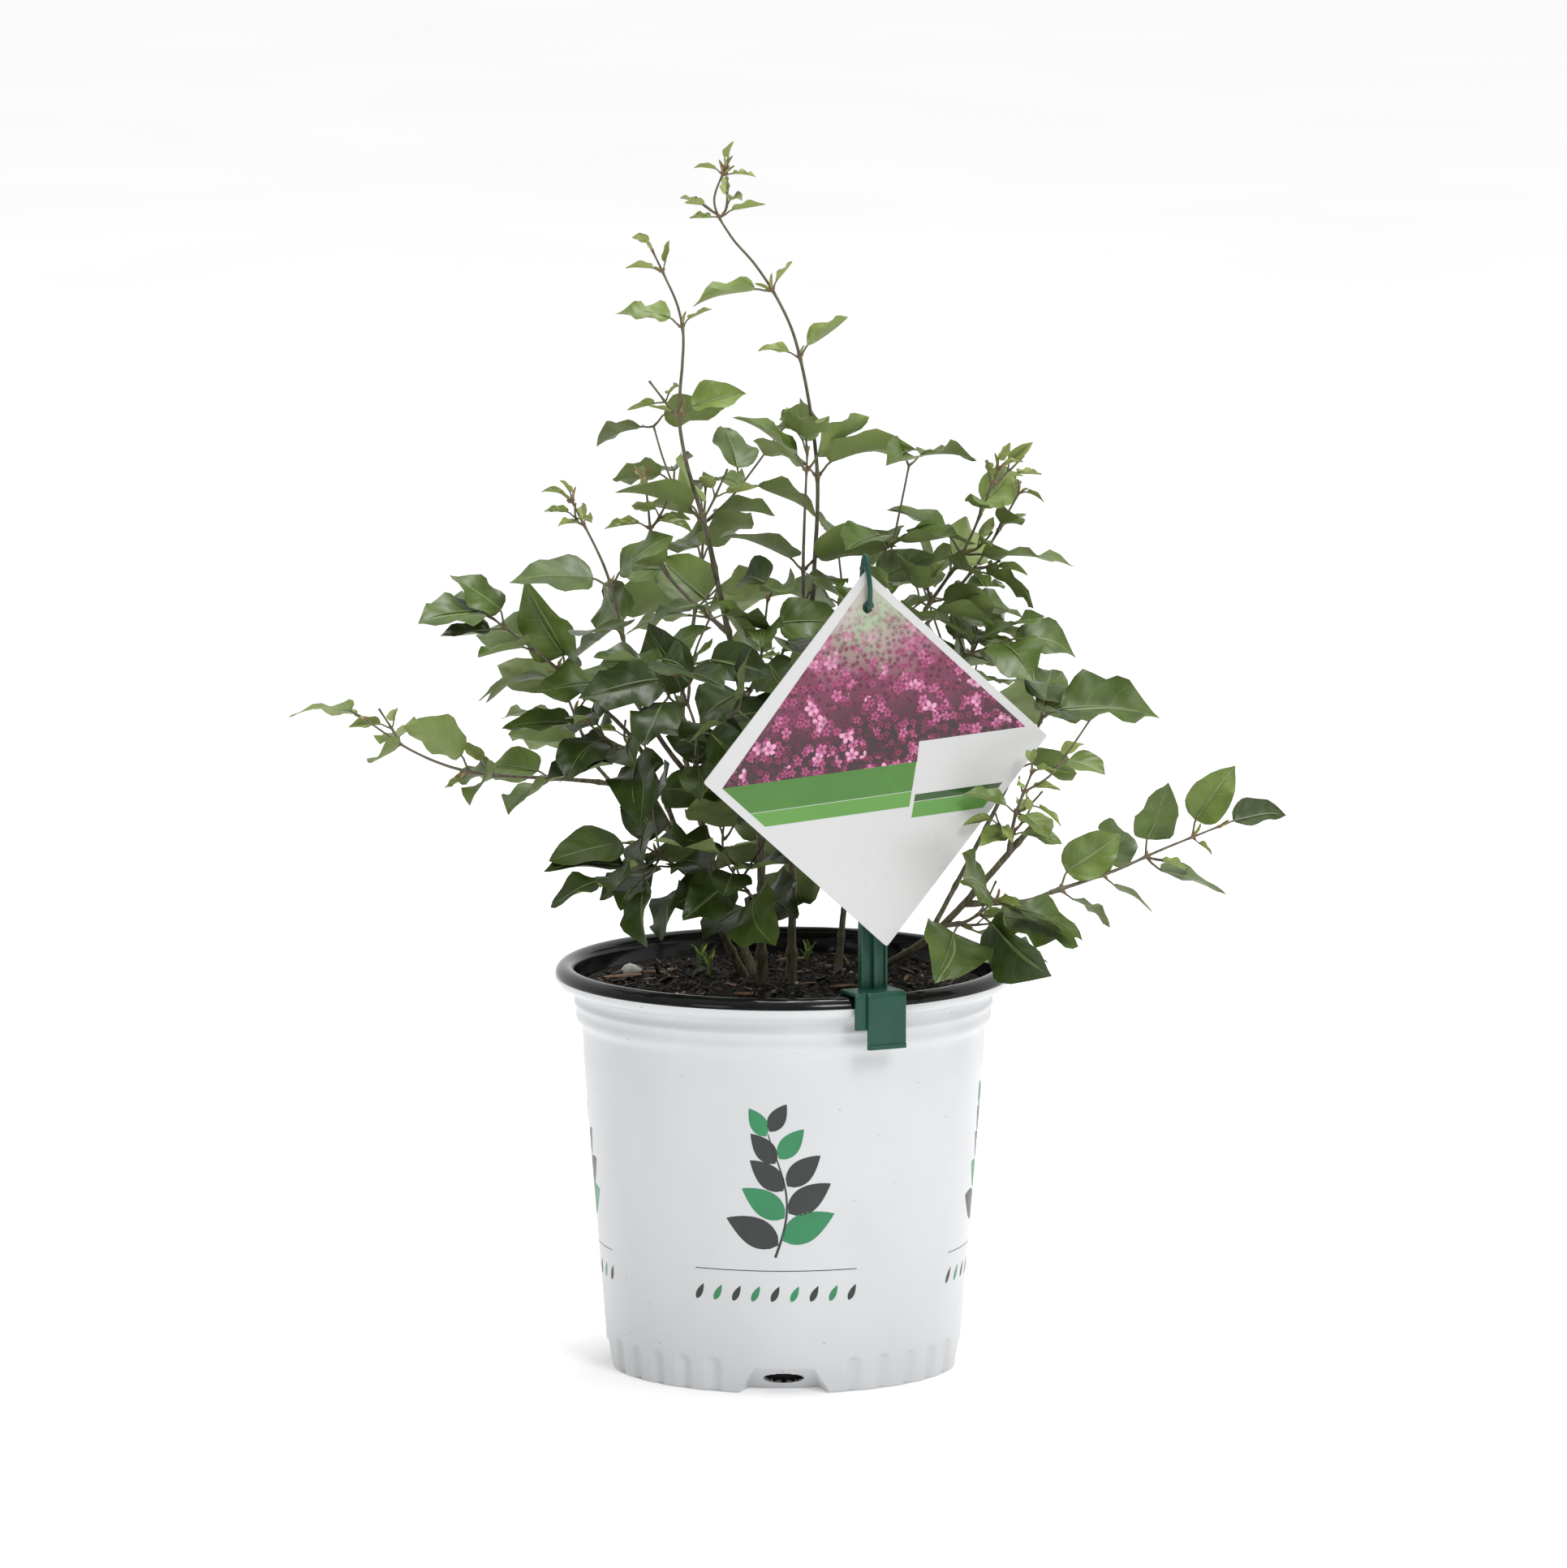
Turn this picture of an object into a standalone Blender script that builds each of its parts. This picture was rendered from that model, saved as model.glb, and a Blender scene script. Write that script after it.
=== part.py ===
"""A young reblooming lilac in a round plastic nursery pot, with a label clipped on the rim.

Metres, +Z up. The origin is on the pot's axis at the level that its foot stands on, and the
front of the plant faces -Y. Limbs and foliage are grown by one seeded rule from the plans below.
"""

import math

import bmesh
import bpy
import numpy as np
from mathutils import Vector
from mathutils.bvhtree import BVHTree

# Pot: heights above the foot, and radii of its outer face
SEGMENTS = 64
POT_HEIGHT = 0.206
FOOT_RADIUS = 0.0893
FLUTE_TOP = 0.0165
FLUTE_DEPTH = 0.0014
FLUTE_EDGE = 0.001
COLLAR_FOOT = 0.158
COLLAR_FOOT_RADIUS = 0.1018
COLLAR_STEP = 0.176
COLLAR_RADIUS = 0.1057
COLLAR_SWELL = 0.0013
STEP_BELOW = 0.002
STEP_ABOVE = 0.003
STEP_INSIDE = 0.004
NECK_SWELL = 0.001
NECK_HEIGHT = 0.004
BEAD_RADIUS = 0.1163
BEAD_WIDTH = 0.0106
BEAD_HEIGHT = 0.0110
BEAD_START = math.radians(-70)
BEAD_TURN = math.radians(250)
BEAD_STEPS = 6
WALL = 0.0018
FLOOR = 0.0030
GAP = 0.0003

# Four recesses in the foot, each with a drain hole in its sloping face
NOTCHES = 4
NOTCH_HEIGHT = 0.0130
NOTCH_TOP_HALF = 0.0170
NOTCH_FOOT_HALF = 0.0225
NOTCH_DEPTH = 0.0150
DRAIN_WIDTH = 0.022
DRAIN_HEIGHT = 0.009
FLUTES_BETWEEN = 5
RECESS_OUT = 0.012
RECESS_BELOW = 0.002
DRAIN_OUT = 0.52
DRAIN_UP = 0.48
DRAIN_REACH = 0.006
DRAIN_SIDES = 12
LINING_HEIGHT = 2.3

SOIL_TOP = 0.194
SOIL_EDGE_GAP = 0.0004

# Label: a square card hung on its corner from a holder that is clipped over the rim. The hook's
# points are (distance in front of the hole or its seat, height above it).
CLIP_BEARING = math.radians(25.5)
SADDLE_WIDTH = 0.027
PLATE_WIDTH = 0.021
PLATE_BOTTOM = 0.180
PLATE_THICKNESS = 0.0022
BRIDGE_THICKNESS = 0.0026
POST_WIDTH = 0.0145
POST_TOP = 0.392
SADDLE_ASIDE = 0.003
SKIRT = 0.016
LEG_ABOVE_SOIL = 0.002
WEB_TOP = 0.342
POST_THICKNESS = 0.0020
RIB_THICKNESS = 0.0024
RIB_DEPTH = 0.0083
HOOK_ROOT = 0.012
HOOK_STEPS = 24
HOOK_RADIUS = 0.0013
HOOK_BACK = (-0.0045, 0.010)
HOOK_OVER = (0.0005, 0.0075)
HOOK_FRONT = (0.0040, 0.012)
HOOK_TIP = 0.0030
PIN_ENDS = (-0.0022, 0.0044)
CARD_SIDE = 0.135
CARD_THICKNESS = 0.0008
CARD_TURN = math.radians(3.5)
CARD_MIDDLE = 0.3265
CARD_DISTANCE = 0.1165
CARD_ASIDE = -0.0045
HOLE_RADIUS = 0.0032
HOLE_FROM_CORNER = 0.0185
HOLE_SIDES = 12
PUNCH_REACH = 5
OUT = np.array((0.0, -1.0, 0.0))

# Limbs: sides of a section, and the swelling at a stem's foot
STEM_SIDES = 6
ROOT_FLARE = 1.45
FLARE_LENGTH = 0.012
STEM_STEPS = 10
BOUGH_STEPS = 6
TWIG_SIDES = 3
SHOOT_RADIUS_SHARE = 0.98
SHOOT_FOOT_RADIUS = 0.0016
SHOOT_TIP_RADIUS = 0.0007
TWIG_RADIUS = 0.0009
FINE = 600
CURVE_STEPS = 24
RING_TESTS = 12
START_SHARE = 0.35

# Leaves: a stalk, then a blade whose stations are (share of its length, share of its width)
PETIOLE = 0.010
PETIOLE_HALF = 0.0006
LEAF_THICKNESS = 0.0009
LEAF_STATIONS = ((0.34, 1.0), (0.70, 0.66))
PLAIN_LEAF = 0.042
PLAIN_LEAF_STATIONS = ((0.42, 1.0),)
SMALL_LEAF = 0.024
LEAF_CLEARANCE = 0.0008
LEAF_TRIES = (0, 22, -22, 44, -44, 66, -66)
LEAF_WIDTHS = (0.60, 0.76)
LEAF_ARCHES = (0.05, 0.35)
LEAF_LEAN = 0.28
FULL_STALK_LEAF = 0.05
SHORT_STALK = 0.25
AXIS_RADIUS = 0.04
STALK_WEIGHT = 0.6
LEVEL_WEIGHT = 0.6
LEAN_WEIGHT = 0.4
OUTWARD_PULL = 0.4
FACE_UP = 0.8
FACE_OUT = 0.55
STALK_TEST = 0.002

# Spacing of leaf pairs, and how side twigs grow
PAIR_SPACING = 0.86
BLADE_FALL = 0.8
TURN_SPREAD = 14
LIFTS = (25, 55)
BLADE_SPREAD = (0.86, 1.14)
TWIG_SIDEWAYS = 0.8
TWIG_FORWARD = 0.6
TWIG_UPWARD = 0.25
TWIG_BEND = 0.15
TWIG_CURL = 0.2
TWIG_STEPS = 3
TWIG_FIRST = 0.45
TWIG_BLADE_TIP = 0.75
TWIG_SPREAD = (0.75, 1.2)
TWIG_BLADE = 0.85

# Stems: foot (x, y) on the soil, the points it runs through, foot and tip radius
STEMS = {
    "stem_centre": ((-0.011, 0.007), ((-0.014, 0.002, 0.300), (-0.038, -0.012, 0.425)), 0.0034, 0.0018),
    "stem_back": ((0.004, 0.014), ((0.006, 0.022, 0.300), (0.015, 0.022, 0.393)), 0.0031, 0.0019),
    "stem_left": ((-0.021, 0.031), ((-0.048, 0.012, 0.255), (-0.066, 0.000, 0.290)), 0.0029, 0.0021),
    "stem_rear": ((0.028, 0.054), ((0.034, 0.062, 0.250), (0.043, 0.062, 0.303)), 0.0024, 0.0018),
    "stem_right": ((0.040, 0.020), ((0.078, -0.062, 0.233), (0.129, -0.085, 0.294)), 0.0030, 0.0021),
    "stem_back_left": ((-0.016, 0.046), ((-0.036, 0.070, 0.245), (-0.050, 0.084, 0.296)), 0.0028, 0.0020),
}

# Boughs: what carries it, how far along, the points it runs through, foot and tip radius
BOUGHS = {
    "bough_left": ("stem_centre", 0.36, ((-0.048, -0.030, 0.307), (-0.075, -0.050, 0.348)), 0.0023, 0.0016),
    "bough_left_low": ("stem_left", 1.0, ((-0.088, -0.010, 0.299), (-0.112, -0.019, 0.303)), 0.0020, 0.0015),
    "bough_left_shoulder": ("stem_left", 0.62, ((-0.072, -0.022, 0.318), (-0.106, -0.036, 0.355)), 0.0019, 0.0014),
    "bough_right_top": ("stem_rear", 1.0, ((0.055, 0.048, 0.345), (0.072, 0.032, 0.382)), 0.0018, 0.0014),
    "bough_right_shoulder": ("stem_back", 0.45, ((0.045, 0.022, 0.310), (0.078, 0.012, 0.345)), 0.0019, 0.0014),
    "bough_right_mid": ("stem_right", 0.48, ((0.098, -0.034, 0.272), (0.116, -0.024, 0.306)), 0.0019, 0.0014),
    "bough_right_low": ("stem_right", 0.66, ((0.120, -0.080, 0.250), (0.134, -0.076, 0.254)), 0.0019, 0.0015),
    "bough_back": ("stem_back_left", 1.0, ((-0.052, 0.090, 0.330), (-0.047, 0.090, 0.362)), 0.0019, 0.0014),
    "bough_back_right": ("stem_rear", 0.50, ((0.056, 0.078, 0.275), (0.078, 0.088, 0.305)), 0.0018, 0.0014),
    "bough_back_left": ("stem_back_left", 0.55, ((-0.074, 0.078, 0.272), (-0.098, 0.084, 0.296)), 0.0018, 0.0014),
}

# Masses of foliage. on, at: what carries the shoot, and how far along it. through: the points it
# runs through. pairs: its pairs of leaves, the first at a share of its length. blades: their length
# at the foot and at the tip. turn: the first pair's turn about the shoot, in degrees. twigs: the
# share of leaf axils with a side twig, twig: its length, twig_pairs: its pairs of leaves.
# droop: how far blades may hang. Where the photograph shows a shoot against the background, nodes
# gives each of its pairs instead: share of the length, turn and lift in degrees, two blade lengths.
USUAL = dict(
    pairs=4, first=0.16, blades=(0.046, 0.034), turn=45, droop=0.45, nodes=None,
    twigs=0.5, twig=0.045, twig_pairs=2,
)
MASSES = {
    "leaves_tall_leader": dict(
        on="stem_back", at=1.0, twigs=0.0, droop=0.05,
        through=((0.017, 0.020, 0.456), (0.007, 0.012, 0.519), (-0.009, 0.008, 0.554),
                 (-0.034, 0.004, 0.588), (-0.029, 0.000, 0.612)),
        nodes=((0.25, -10, 50, 0.030, 0.050), (0.52, 5, 45, 0.018, 0.026), (0.68, 10, 40, 0.032, 0.015),
               (0.88, 5, 20, 0.013, 0.020), (0.98, -20, 30, 0.013, 0.014), (1.00, 40, 80, 0.014, 0.010)),
    ),
    "leaves_left_leader": dict(
        on="stem_centre", at=1.0, twigs=0.0, droop=0.05,
        through=((-0.052, -0.016, 0.480), (-0.051, -0.018, 0.534), (-0.066, -0.020, 0.572)),
        nodes=((0.06, 15, 72, 0.048, 0.036), (0.42, 10, 40, 0.014, 0.028), (0.72, -10, 50, 0.027, 0.016),
               (0.92, 20, 50, 0.016, 0.013), (1.00, 90, 70, 0.012, 0.011)),
    ),
    "leaves_second_leader": dict(
        on="stem_back", at=0.80, twigs=0.0, droop=0.0,
        through=((0.010, -0.001, 0.410), (0.012, 0.002, 0.466)),
        nodes=((0.45, 0, 50, 0.048, 0.048), (0.92, 10, 58, 0.044, 0.038), (1.00, 80, 60, 0.036, 0.028)),
    ),
    "leaves_left_arch": dict(
        on="bough_left", at=1.0, twigs=0.0, droop=0.15,
        through=((-0.087, -0.056, 0.408), (-0.106, -0.060, 0.450)),
        nodes=((0.05, 20, 40, 0.048, 0.046), (0.30, 80, 40, 0.046, 0.042), (0.55, 0, 45, 0.044, 0.034),
               (0.87, 60, 45, 0.016, 0.014), (1.00, 0, 70, 0.013, 0.011)),
    ),
    "leaves_left_low": dict(
        on="bough_left_low", at=1.0, twigs=0.0, droop=0.0,
        through=((-0.156, -0.025, 0.307), (-0.186, -0.029, 0.318), (-0.211, -0.030, 0.335)),
        nodes=((0.05, 70, 35, 0.036, 0.034), (0.30, -90, 30, 0.030, 0.032), (0.44, 0, 35, 0.012, 0.034),
               (0.80, 75, 10, 0.026, 0.030), (1.00, 90, 70, 0.034, 0.014)),
    ),
    "leaves_left_shoulder": dict(
        on="bough_left_shoulder", at=1.0, twigs=0.0, droop=0.1,
        through=((-0.122, -0.040, 0.369), (-0.146, -0.042, 0.388)),
        nodes=((0.10, 10, 45, 0.036, 0.044), (0.50, 80, 45, 0.038, 0.040), (0.85, 0, 50, 0.026, 0.036),
               (1.00, 90, 65, 0.038, 0.028)),
    ),
    "leaves_left_side": dict(
        on="bough_left_shoulder", at=0.55, blades=(0.044, 0.036), turn=20, twigs=0.3, droop=0.3,
        through=((-0.082, -0.052, 0.322), (-0.098, -0.062, 0.338)),
    ),
    "leaves_upper_left": dict(
        on="stem_centre", at=0.78, blades=(0.044, 0.014), turn=10, twigs=0.0, first=0.10,
        through=((-0.062, 0.010, 0.408), (-0.070, 0.006, 0.450)),
    ),
    "leaves_upper_middle": dict(
        on="stem_centre", at=0.62, blades=(0.044, 0.030), turn=40, twigs=0.6,
        through=((-0.012, -0.034, 0.364), (-0.008, -0.044, 0.398)),
    ),
    "leaves_upper_right": dict(
        on="stem_back", at=0.66, blades=(0.048, 0.030), turn=80, twigs=0.4,
        through=((0.040, -0.004, 0.385), (0.052, -0.010, 0.420)),
    ),
    "leaves_right_top": dict(
        on="bough_right_top", at=1.0, twigs=0.0, droop=0.2,
        through=((0.092, 0.026, 0.414), (0.109, 0.020, 0.456)),
        nodes=((0.06, 20, 40, 0.046, 0.044), (0.28, 95, 40, 0.044, 0.044), (0.42, -5, 30, 0.040, 0.052),
               (0.68, 80, 45, 0.030, 0.034), (0.90, 30, 50, 0.016, 0.014), (1.00, 0, 70, 0.013, 0.011)),
    ),
    "leaves_right_tip": dict(
        on="bough_right_top", at=0.72, pairs=4, blades=(0.042, 0.013), turn=60, twigs=0.0, droop=0.2,
        through=((0.098, 0.038, 0.404), (0.120, 0.036, 0.442)),
    ),
    "leaves_right_shoulder": dict(
        on="bough_right_shoulder", at=1.0, pairs=3, blades=(0.046, 0.038), turn=60, twigs=0.3, droop=0.3,
        through=((0.092, 0.002, 0.362), (0.108, -0.008, 0.370)),
    ),
    "leaves_right_mid": dict(
        on="bough_right_mid", at=1.0, twigs=0.0, droop=0.1,
        through=((0.124, -0.022, 0.320), (0.131, -0.020, 0.335)),
        nodes=((0.10, 40, 40, 0.030, 0.036), (0.85, 90, 45, 0.036, 0.038), (1.00, 0, 50, 0.040, 0.054)),
    ),
    "leaves_right_low": dict(
        on="bough_right_low", at=1.0, twigs=0.0, droop=0.0,
        through=((0.166, -0.070, 0.264), (0.190, -0.065, 0.274), (0.219, -0.060, 0.285)),
        nodes=((0.05, 0, 35, 0.034, 0.024), (0.30, -15, 30, 0.034, 0.024), (0.56, 5, 25, 0.032, 0.038),
               (0.84, 0, 30, 0.032, 0.010), (1.00, -85, 80, 0.028, 0.010)),
    ),
    "leaves_right_sprig": dict(
        on="stem_right", at=0.86, pairs=4, blades=(0.024, 0.015), turn=30, twigs=0.3, twig=0.03, twig_pairs=1,
        through=((0.116, -0.094, 0.296), (0.124, -0.098, 0.318)),
    ),
    "leaves_right_rim": dict(
        on="stem_right", at=0.56, pairs=3, blades=(0.048, 0.042), turn=30, twigs=0.4, droop=0.2,
        through=((0.092, -0.080, 0.240), (0.106, -0.092, 0.252)),
    ),
    "leaves_left_foot": dict(
        on="stem_left", at=0.50, blades=(0.044, 0.036), turn=50, twigs=0.5, droop=0.35,
        through=((-0.058, -0.026, 0.262), (-0.072, -0.046, 0.274)),
    ),
    "leaves_middle_foot": dict(
        on="stem_centre", at=0.16, blades=(0.048, 0.040), turn=20, twigs=0.4, droop=0.35,
        through=((-0.020, -0.042, 0.252), (-0.024, -0.066, 0.266)),
    ),
    "leaves_middle_front": dict(
        on="bough_left", at=0.45, blades=(0.046, 0.036), turn=65, twigs=0.6,
        through=((-0.044, -0.060, 0.334), (-0.054, -0.078, 0.364)),
    ),
    "leaves_centre": dict(
        on="stem_centre", at=0.44, blades=(0.046, 0.036), turn=15, twigs=0.4,
        through=((-0.008, -0.036, 0.312), (-0.014, -0.062, 0.330)),
    ),
    "leaves_back": dict(
        on="bough_back", at=1.0, blades=(0.046, 0.026), turn=25,
        through=((-0.042, 0.094, 0.400), (-0.040, 0.102, 0.436)),
    ),
    "leaves_back_right": dict(
        on="bough_back_right", at=1.0, blades=(0.046, 0.034), turn=45,
        through=((0.090, 0.088, 0.332), (0.099, 0.088, 0.360)),
    ),
    "leaves_back_left": dict(
        on="bough_back_left", at=1.0, blades=(0.046, 0.030), turn=70,
        through=((-0.106, 0.090, 0.316), (-0.116, 0.098, 0.340)),
    ),
    "leaves_back_upper": dict(
        on="stem_rear", at=0.85, blades=(0.046, 0.030), turn=0, twigs=0.4,
        through=((0.034, 0.092, 0.350), (0.028, 0.104, 0.404)),
    ),
    "leaves_back_foot": dict(
        on="stem_rear", at=0.34, pairs=3, blades=(0.046, 0.038), turn=35, twigs=0.4,
        through=((0.020, 0.082, 0.246), (0.016, 0.096, 0.262)),
    ),
}

WHITE = (0.86, 0.87, 0.89)
BLACK = (0.02, 0.02, 0.022)
SOIL_BROWN = (0.035, 0.022, 0.016)
BARK = (0.13, 0.11, 0.075)
LEAF_GREEN = (0.085, 0.16, 0.045)
HOLDER_GREEN = (0.012, 0.075, 0.045)


def clear_scene():
    """Removes what the scene holds at the start."""
    for thing in list(bpy.data.objects):
        bpy.data.objects.remove(thing, do_unlink=True)


def painted(name, colour, roughness):
    """A plain Principled material."""
    material = bpy.data.materials.new(name)
    material.use_nodes = True
    shader = material.node_tree.nodes["Principled BSDF"]
    shader.inputs["Base Color"].default_value = (*colour, 1.0)
    shader.inputs["Roughness"].default_value = roughness
    return material


def mesh_object(name, points, faces, material, smooth=False):
    """An object at the origin with these corners and faces."""
    mesh = bpy.data.meshes.new(name)
    mesh.from_pydata([tuple(p) for p in points], [], [tuple(f) for f in faces])
    mesh.materials.append(material)
    thing = bpy.data.objects.new(name, mesh)
    bpy.context.scene.collection.objects.link(thing)
    if smooth:
        mesh.shade_smooth()
        mesh.set_sharp_from_angle(angle=math.radians(35))
    return thing


def cut(thing, cutter, operation="DIFFERENCE"):
    """A live Boolean by a hidden cutter."""
    cutter.hide_render = True
    cutter.display_type = "WIRE"
    boolean = thing.modifiers.new(cutter.name, "BOOLEAN")
    boolean.operation = operation
    boolean.object = cutter
    return boolean


def turned(name, outline, material, shift=None):
    """Turns an outline of (radius, height) about the axis. Its ends are on the axis or it is closed.

    shift(radius, height, column) may move a ring's corner in or out.
    """
    angles = np.arange(SEGMENTS) * 2 * math.pi / SEGMENTS
    rings, points = [], []
    for radius, height in outline:
        if radius == 0:
            rings.append([len(points)] * SEGMENTS)
            points.append((0, 0, height))
            continue
        rings.append(list(range(len(points), len(points) + SEGMENTS)))
        for column, angle in enumerate(angles):
            r = radius + (shift(radius, height, column) if shift else 0)
            points.append((r * math.sin(angle), -r * math.cos(angle), height))
    faces = []
    closed = outline[0][0] != 0
    pairs = list(zip(rings, rings[1:] + rings[:1])) if closed else list(zip(rings, rings[1:]))
    for lower, upper in pairs:
        for a in range(SEGMENTS):
            b = (a + 1) % SEGMENTS
            corners = [lower[a], lower[b], upper[b], upper[a]]
            faces.append(list(dict.fromkeys(corners)))
    return mesh_object(name, points, faces, material, smooth=True)


def outer_radius(height):
    """Radius of the pot's plain tapering wall at a height."""
    return FOOT_RADIUS + (COLLAR_FOOT_RADIUS - FOOT_RADIUS) * height / COLLAR_FOOT


def flute(radius, height, column):
    """Scoops shallow upright flutes into the foot of the outer wall, between the recesses."""
    per_notch = SEGMENTS // NOTCHES
    place = column % per_notch
    first = (per_notch - 2 * FLUTES_BETWEEN) // 2 + 1
    in_flute = first <= place <= per_notch - first and (place - first) % 2 == 0
    on_wall = radius > FOOT_RADIUS - WALL / 2 and height < FLUTE_TOP - FLUTE_EDGE
    return -FLUTE_DEPTH if in_flute and on_wall else 0


def pot_outline():
    """The wall's section, from the foot up the outside, over the bead and down the inside."""
    outline = [
        (FOOT_RADIUS, 0),
        (outer_radius(NOTCH_HEIGHT), NOTCH_HEIGHT),
        (outer_radius(FLUTE_TOP), FLUTE_TOP),
        (COLLAR_FOOT_RADIUS, COLLAR_FOOT),
        (COLLAR_FOOT_RADIUS + COLLAR_SWELL, COLLAR_STEP - STEP_BELOW),
        (COLLAR_RADIUS, COLLAR_STEP + STEP_ABOVE),
        (COLLAR_RADIUS + NECK_SWELL, POT_HEIGHT - BEAD_HEIGHT - NECK_HEIGHT),
    ]
    middle = BEAD_RADIUS - BEAD_WIDTH / 2
    for step in range(BEAD_STEPS + 1):
        turn = BEAD_START + BEAD_TURN * step / BEAD_STEPS
        outline.append((
            middle + BEAD_WIDTH / 2 * math.cos(turn),
            POT_HEIGHT - BEAD_HEIGHT / 2 + BEAD_HEIGHT / 2 * math.sin(turn),
        ))
    inner_top = COLLAR_RADIUS - WALL
    outline += [
        (inner_top, POT_HEIGHT - BEAD_HEIGHT),
        (inner_radius(COLLAR_STEP - STEP_INSIDE), COLLAR_STEP - STEP_INSIDE),
        (inner_radius(FLOOR), FLOOR),
        (0, FLOOR),
    ]
    return outline


def inner_radius(height):
    """Radius of the pot's inner face, up to the collar."""
    return outer_radius(height) - WALL


def recess_wedge(name, bearing, grow):
    """A wedge under the sloping face of one recess in the foot, grown by a wall's thickness."""
    reach = FOOT_RADIUS + RECESS_OUT
    below = -RECESS_BELOW - grow
    slope = NOTCH_HEIGHT / NOTCH_DEPTH
    lift = grow * math.hypot(1, slope)
    inner = FOOT_RADIUS - NOTCH_DEPTH + (below - lift) / slope
    top = slope * (reach - FOOT_RADIUS + NOTCH_DEPTH) + lift
    foot_half, top_half = NOTCH_FOOT_HALF + grow, NOTCH_TOP_HALF + grow
    flare = (foot_half - top_half) / NOTCH_HEIGHT
    low_half, high_half = foot_half - flare * below, foot_half - flare * top
    corners = [(-low_half, inner, below), (low_half, inner, below)]
    corners += [(-low_half, reach, below), (low_half, reach, below)]
    corners += [(-high_half, reach, top), (high_half, reach, top)]
    sin, cos = math.sin(bearing), math.cos(bearing)
    points = [(x * cos + r * sin, x * sin - r * cos, z) for x, r, z in corners]
    faces = [(0, 2, 3, 1), (2, 4, 5, 3), (0, 1, 5, 4), (0, 4, 2), (1, 3, 5)]
    wedge = mesh_object(name, points, faces, MATERIALS["pot"])
    face_outwards(wedge)
    return wedge


def face_outwards(thing):
    """Turns a closed mesh's faces outwards."""
    work = bmesh.new()
    work.from_mesh(thing.data)
    bmesh.ops.recalc_face_normals(work, faces=work.faces)
    work.to_mesh(thing.data)
    work.free()


def drain_cutter(bearing, index):
    """An oval plug, square to the sloping face of a recess."""
    slope = math.atan2(NOTCH_HEIGHT, NOTCH_DEPTH)
    radius = FOOT_RADIUS - NOTCH_DEPTH * DRAIN_OUT
    height = NOTCH_HEIGHT * DRAIN_UP
    out, up = -math.sin(slope), math.cos(slope)
    sin, cos = math.sin(bearing), math.cos(bearing)
    points, sides = [], DRAIN_SIDES
    for along in (-DRAIN_REACH, DRAIN_REACH):
        for k in range(sides):
            a = 2 * math.pi * k / sides
            x = DRAIN_WIDTH / 2 * math.cos(a)
            s = DRAIN_HEIGHT / 2 * math.sin(a)
            r = radius + s * up + along * out
            z = height - s * out + along * up
            points.append((x * cos + r * sin, x * sin - r * cos, z))
    faces = [list(range(sides))[::-1], list(range(sides, 2 * sides))]
    faces += [(k, (k + 1) % sides, sides + (k + 1) % sides, sides + k) for k in range(sides)]
    plug = mesh_object(f"drain_cutter_{index}", points, faces, MATERIALS["pot"])
    face_outwards(plug)
    return plug


def make_pot():
    """The pot's wall and floor with its recesses, drain holes and flutes."""
    pot = turned("pot", [(0, 0)] + pot_outline(), MATERIALS["pot"], flute)
    low, high, bite = WALL / 4, LINING_HEIGHT * NOTCH_HEIGHT, WALL / 2
    inside = [(0, low), (outer_radius(low) - bite, low), (outer_radius(high) - bite, high), (0, high)]
    for k in range(NOTCHES):
        bearing = 2 * math.pi * k / NOTCHES
        lining = recess_wedge(f"lining_cutter_{k}", bearing, WALL)
        bound = turned(f"lining_bound_{k}", inside, MATERIALS["pot"])
        cut(lining, bound, "INTERSECT")
        cut(pot, lining, "UNION")
    for k in range(NOTCHES):
        bearing = 2 * math.pi * k / NOTCHES
        cut(pot, recess_wedge(f"recess_cutter_{k}", bearing, 0))
        cut(pot, drain_cutter(bearing, k))
    return pot


def make_soil():
    """Potting mix that fills the pot to just under its rim."""
    top = inner_radius(COLLAR_STEP - STEP_INSIDE) - GAP
    outline = [
        (0, FLOOR + GAP),
        (inner_radius(FLOOR) - 2 * GAP, FLOOR + GAP),
        (top, COLLAR_STEP - STEP_INSIDE),
        (COLLAR_RADIUS - WALL - GAP - SOIL_EDGE_GAP, SOIL_TOP),
        (0, SOIL_TOP),
    ]
    soil = turned("soil", outline, MATERIALS["soil"])
    for k in range(NOTCHES):
        cut(soil, recess_wedge(f"soil_cutter_{k}", 2 * math.pi * k / NOTCHES, WALL + 2 * GAP))
    return soil


def unit(v):
    """v at length one."""
    return v / max(float(np.linalg.norm(v)), 1e-12)


def route(points, steps):
    """A smooth curve through the points: cubic pieces whose slope at each point is the chord
    between its neighbours. It is read at steps + 1 places that lie evenly along it."""
    p = np.asarray(points, float)
    slopes = np.gradient(p, axis=0) if len(p) > 2 else np.repeat(p[1:] - p[:1], 2, axis=0)
    fine = []
    for a, b, da, db in zip(p, p[1:], slopes, slopes[1:]):
        t = np.linspace(0, 1, CURVE_STEPS, endpoint=False)[:, None]
        fine.append(
            (2 * t**3 - 3 * t**2 + 1) * a + (t**3 - 2 * t**2 + t) * da
            + (3 * t**2 - 2 * t**3) * b + (t**3 - t**2) * db
        )
    fine = np.vstack(fine + [p[-1:]])
    run = np.concatenate([[0], np.cumsum(np.linalg.norm(np.diff(fine, axis=0), axis=1))])
    at = np.linspace(0, run[-1], steps + 1)
    return np.column_stack([np.interp(at, run, fine[:, k]) for k in range(3)])


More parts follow.
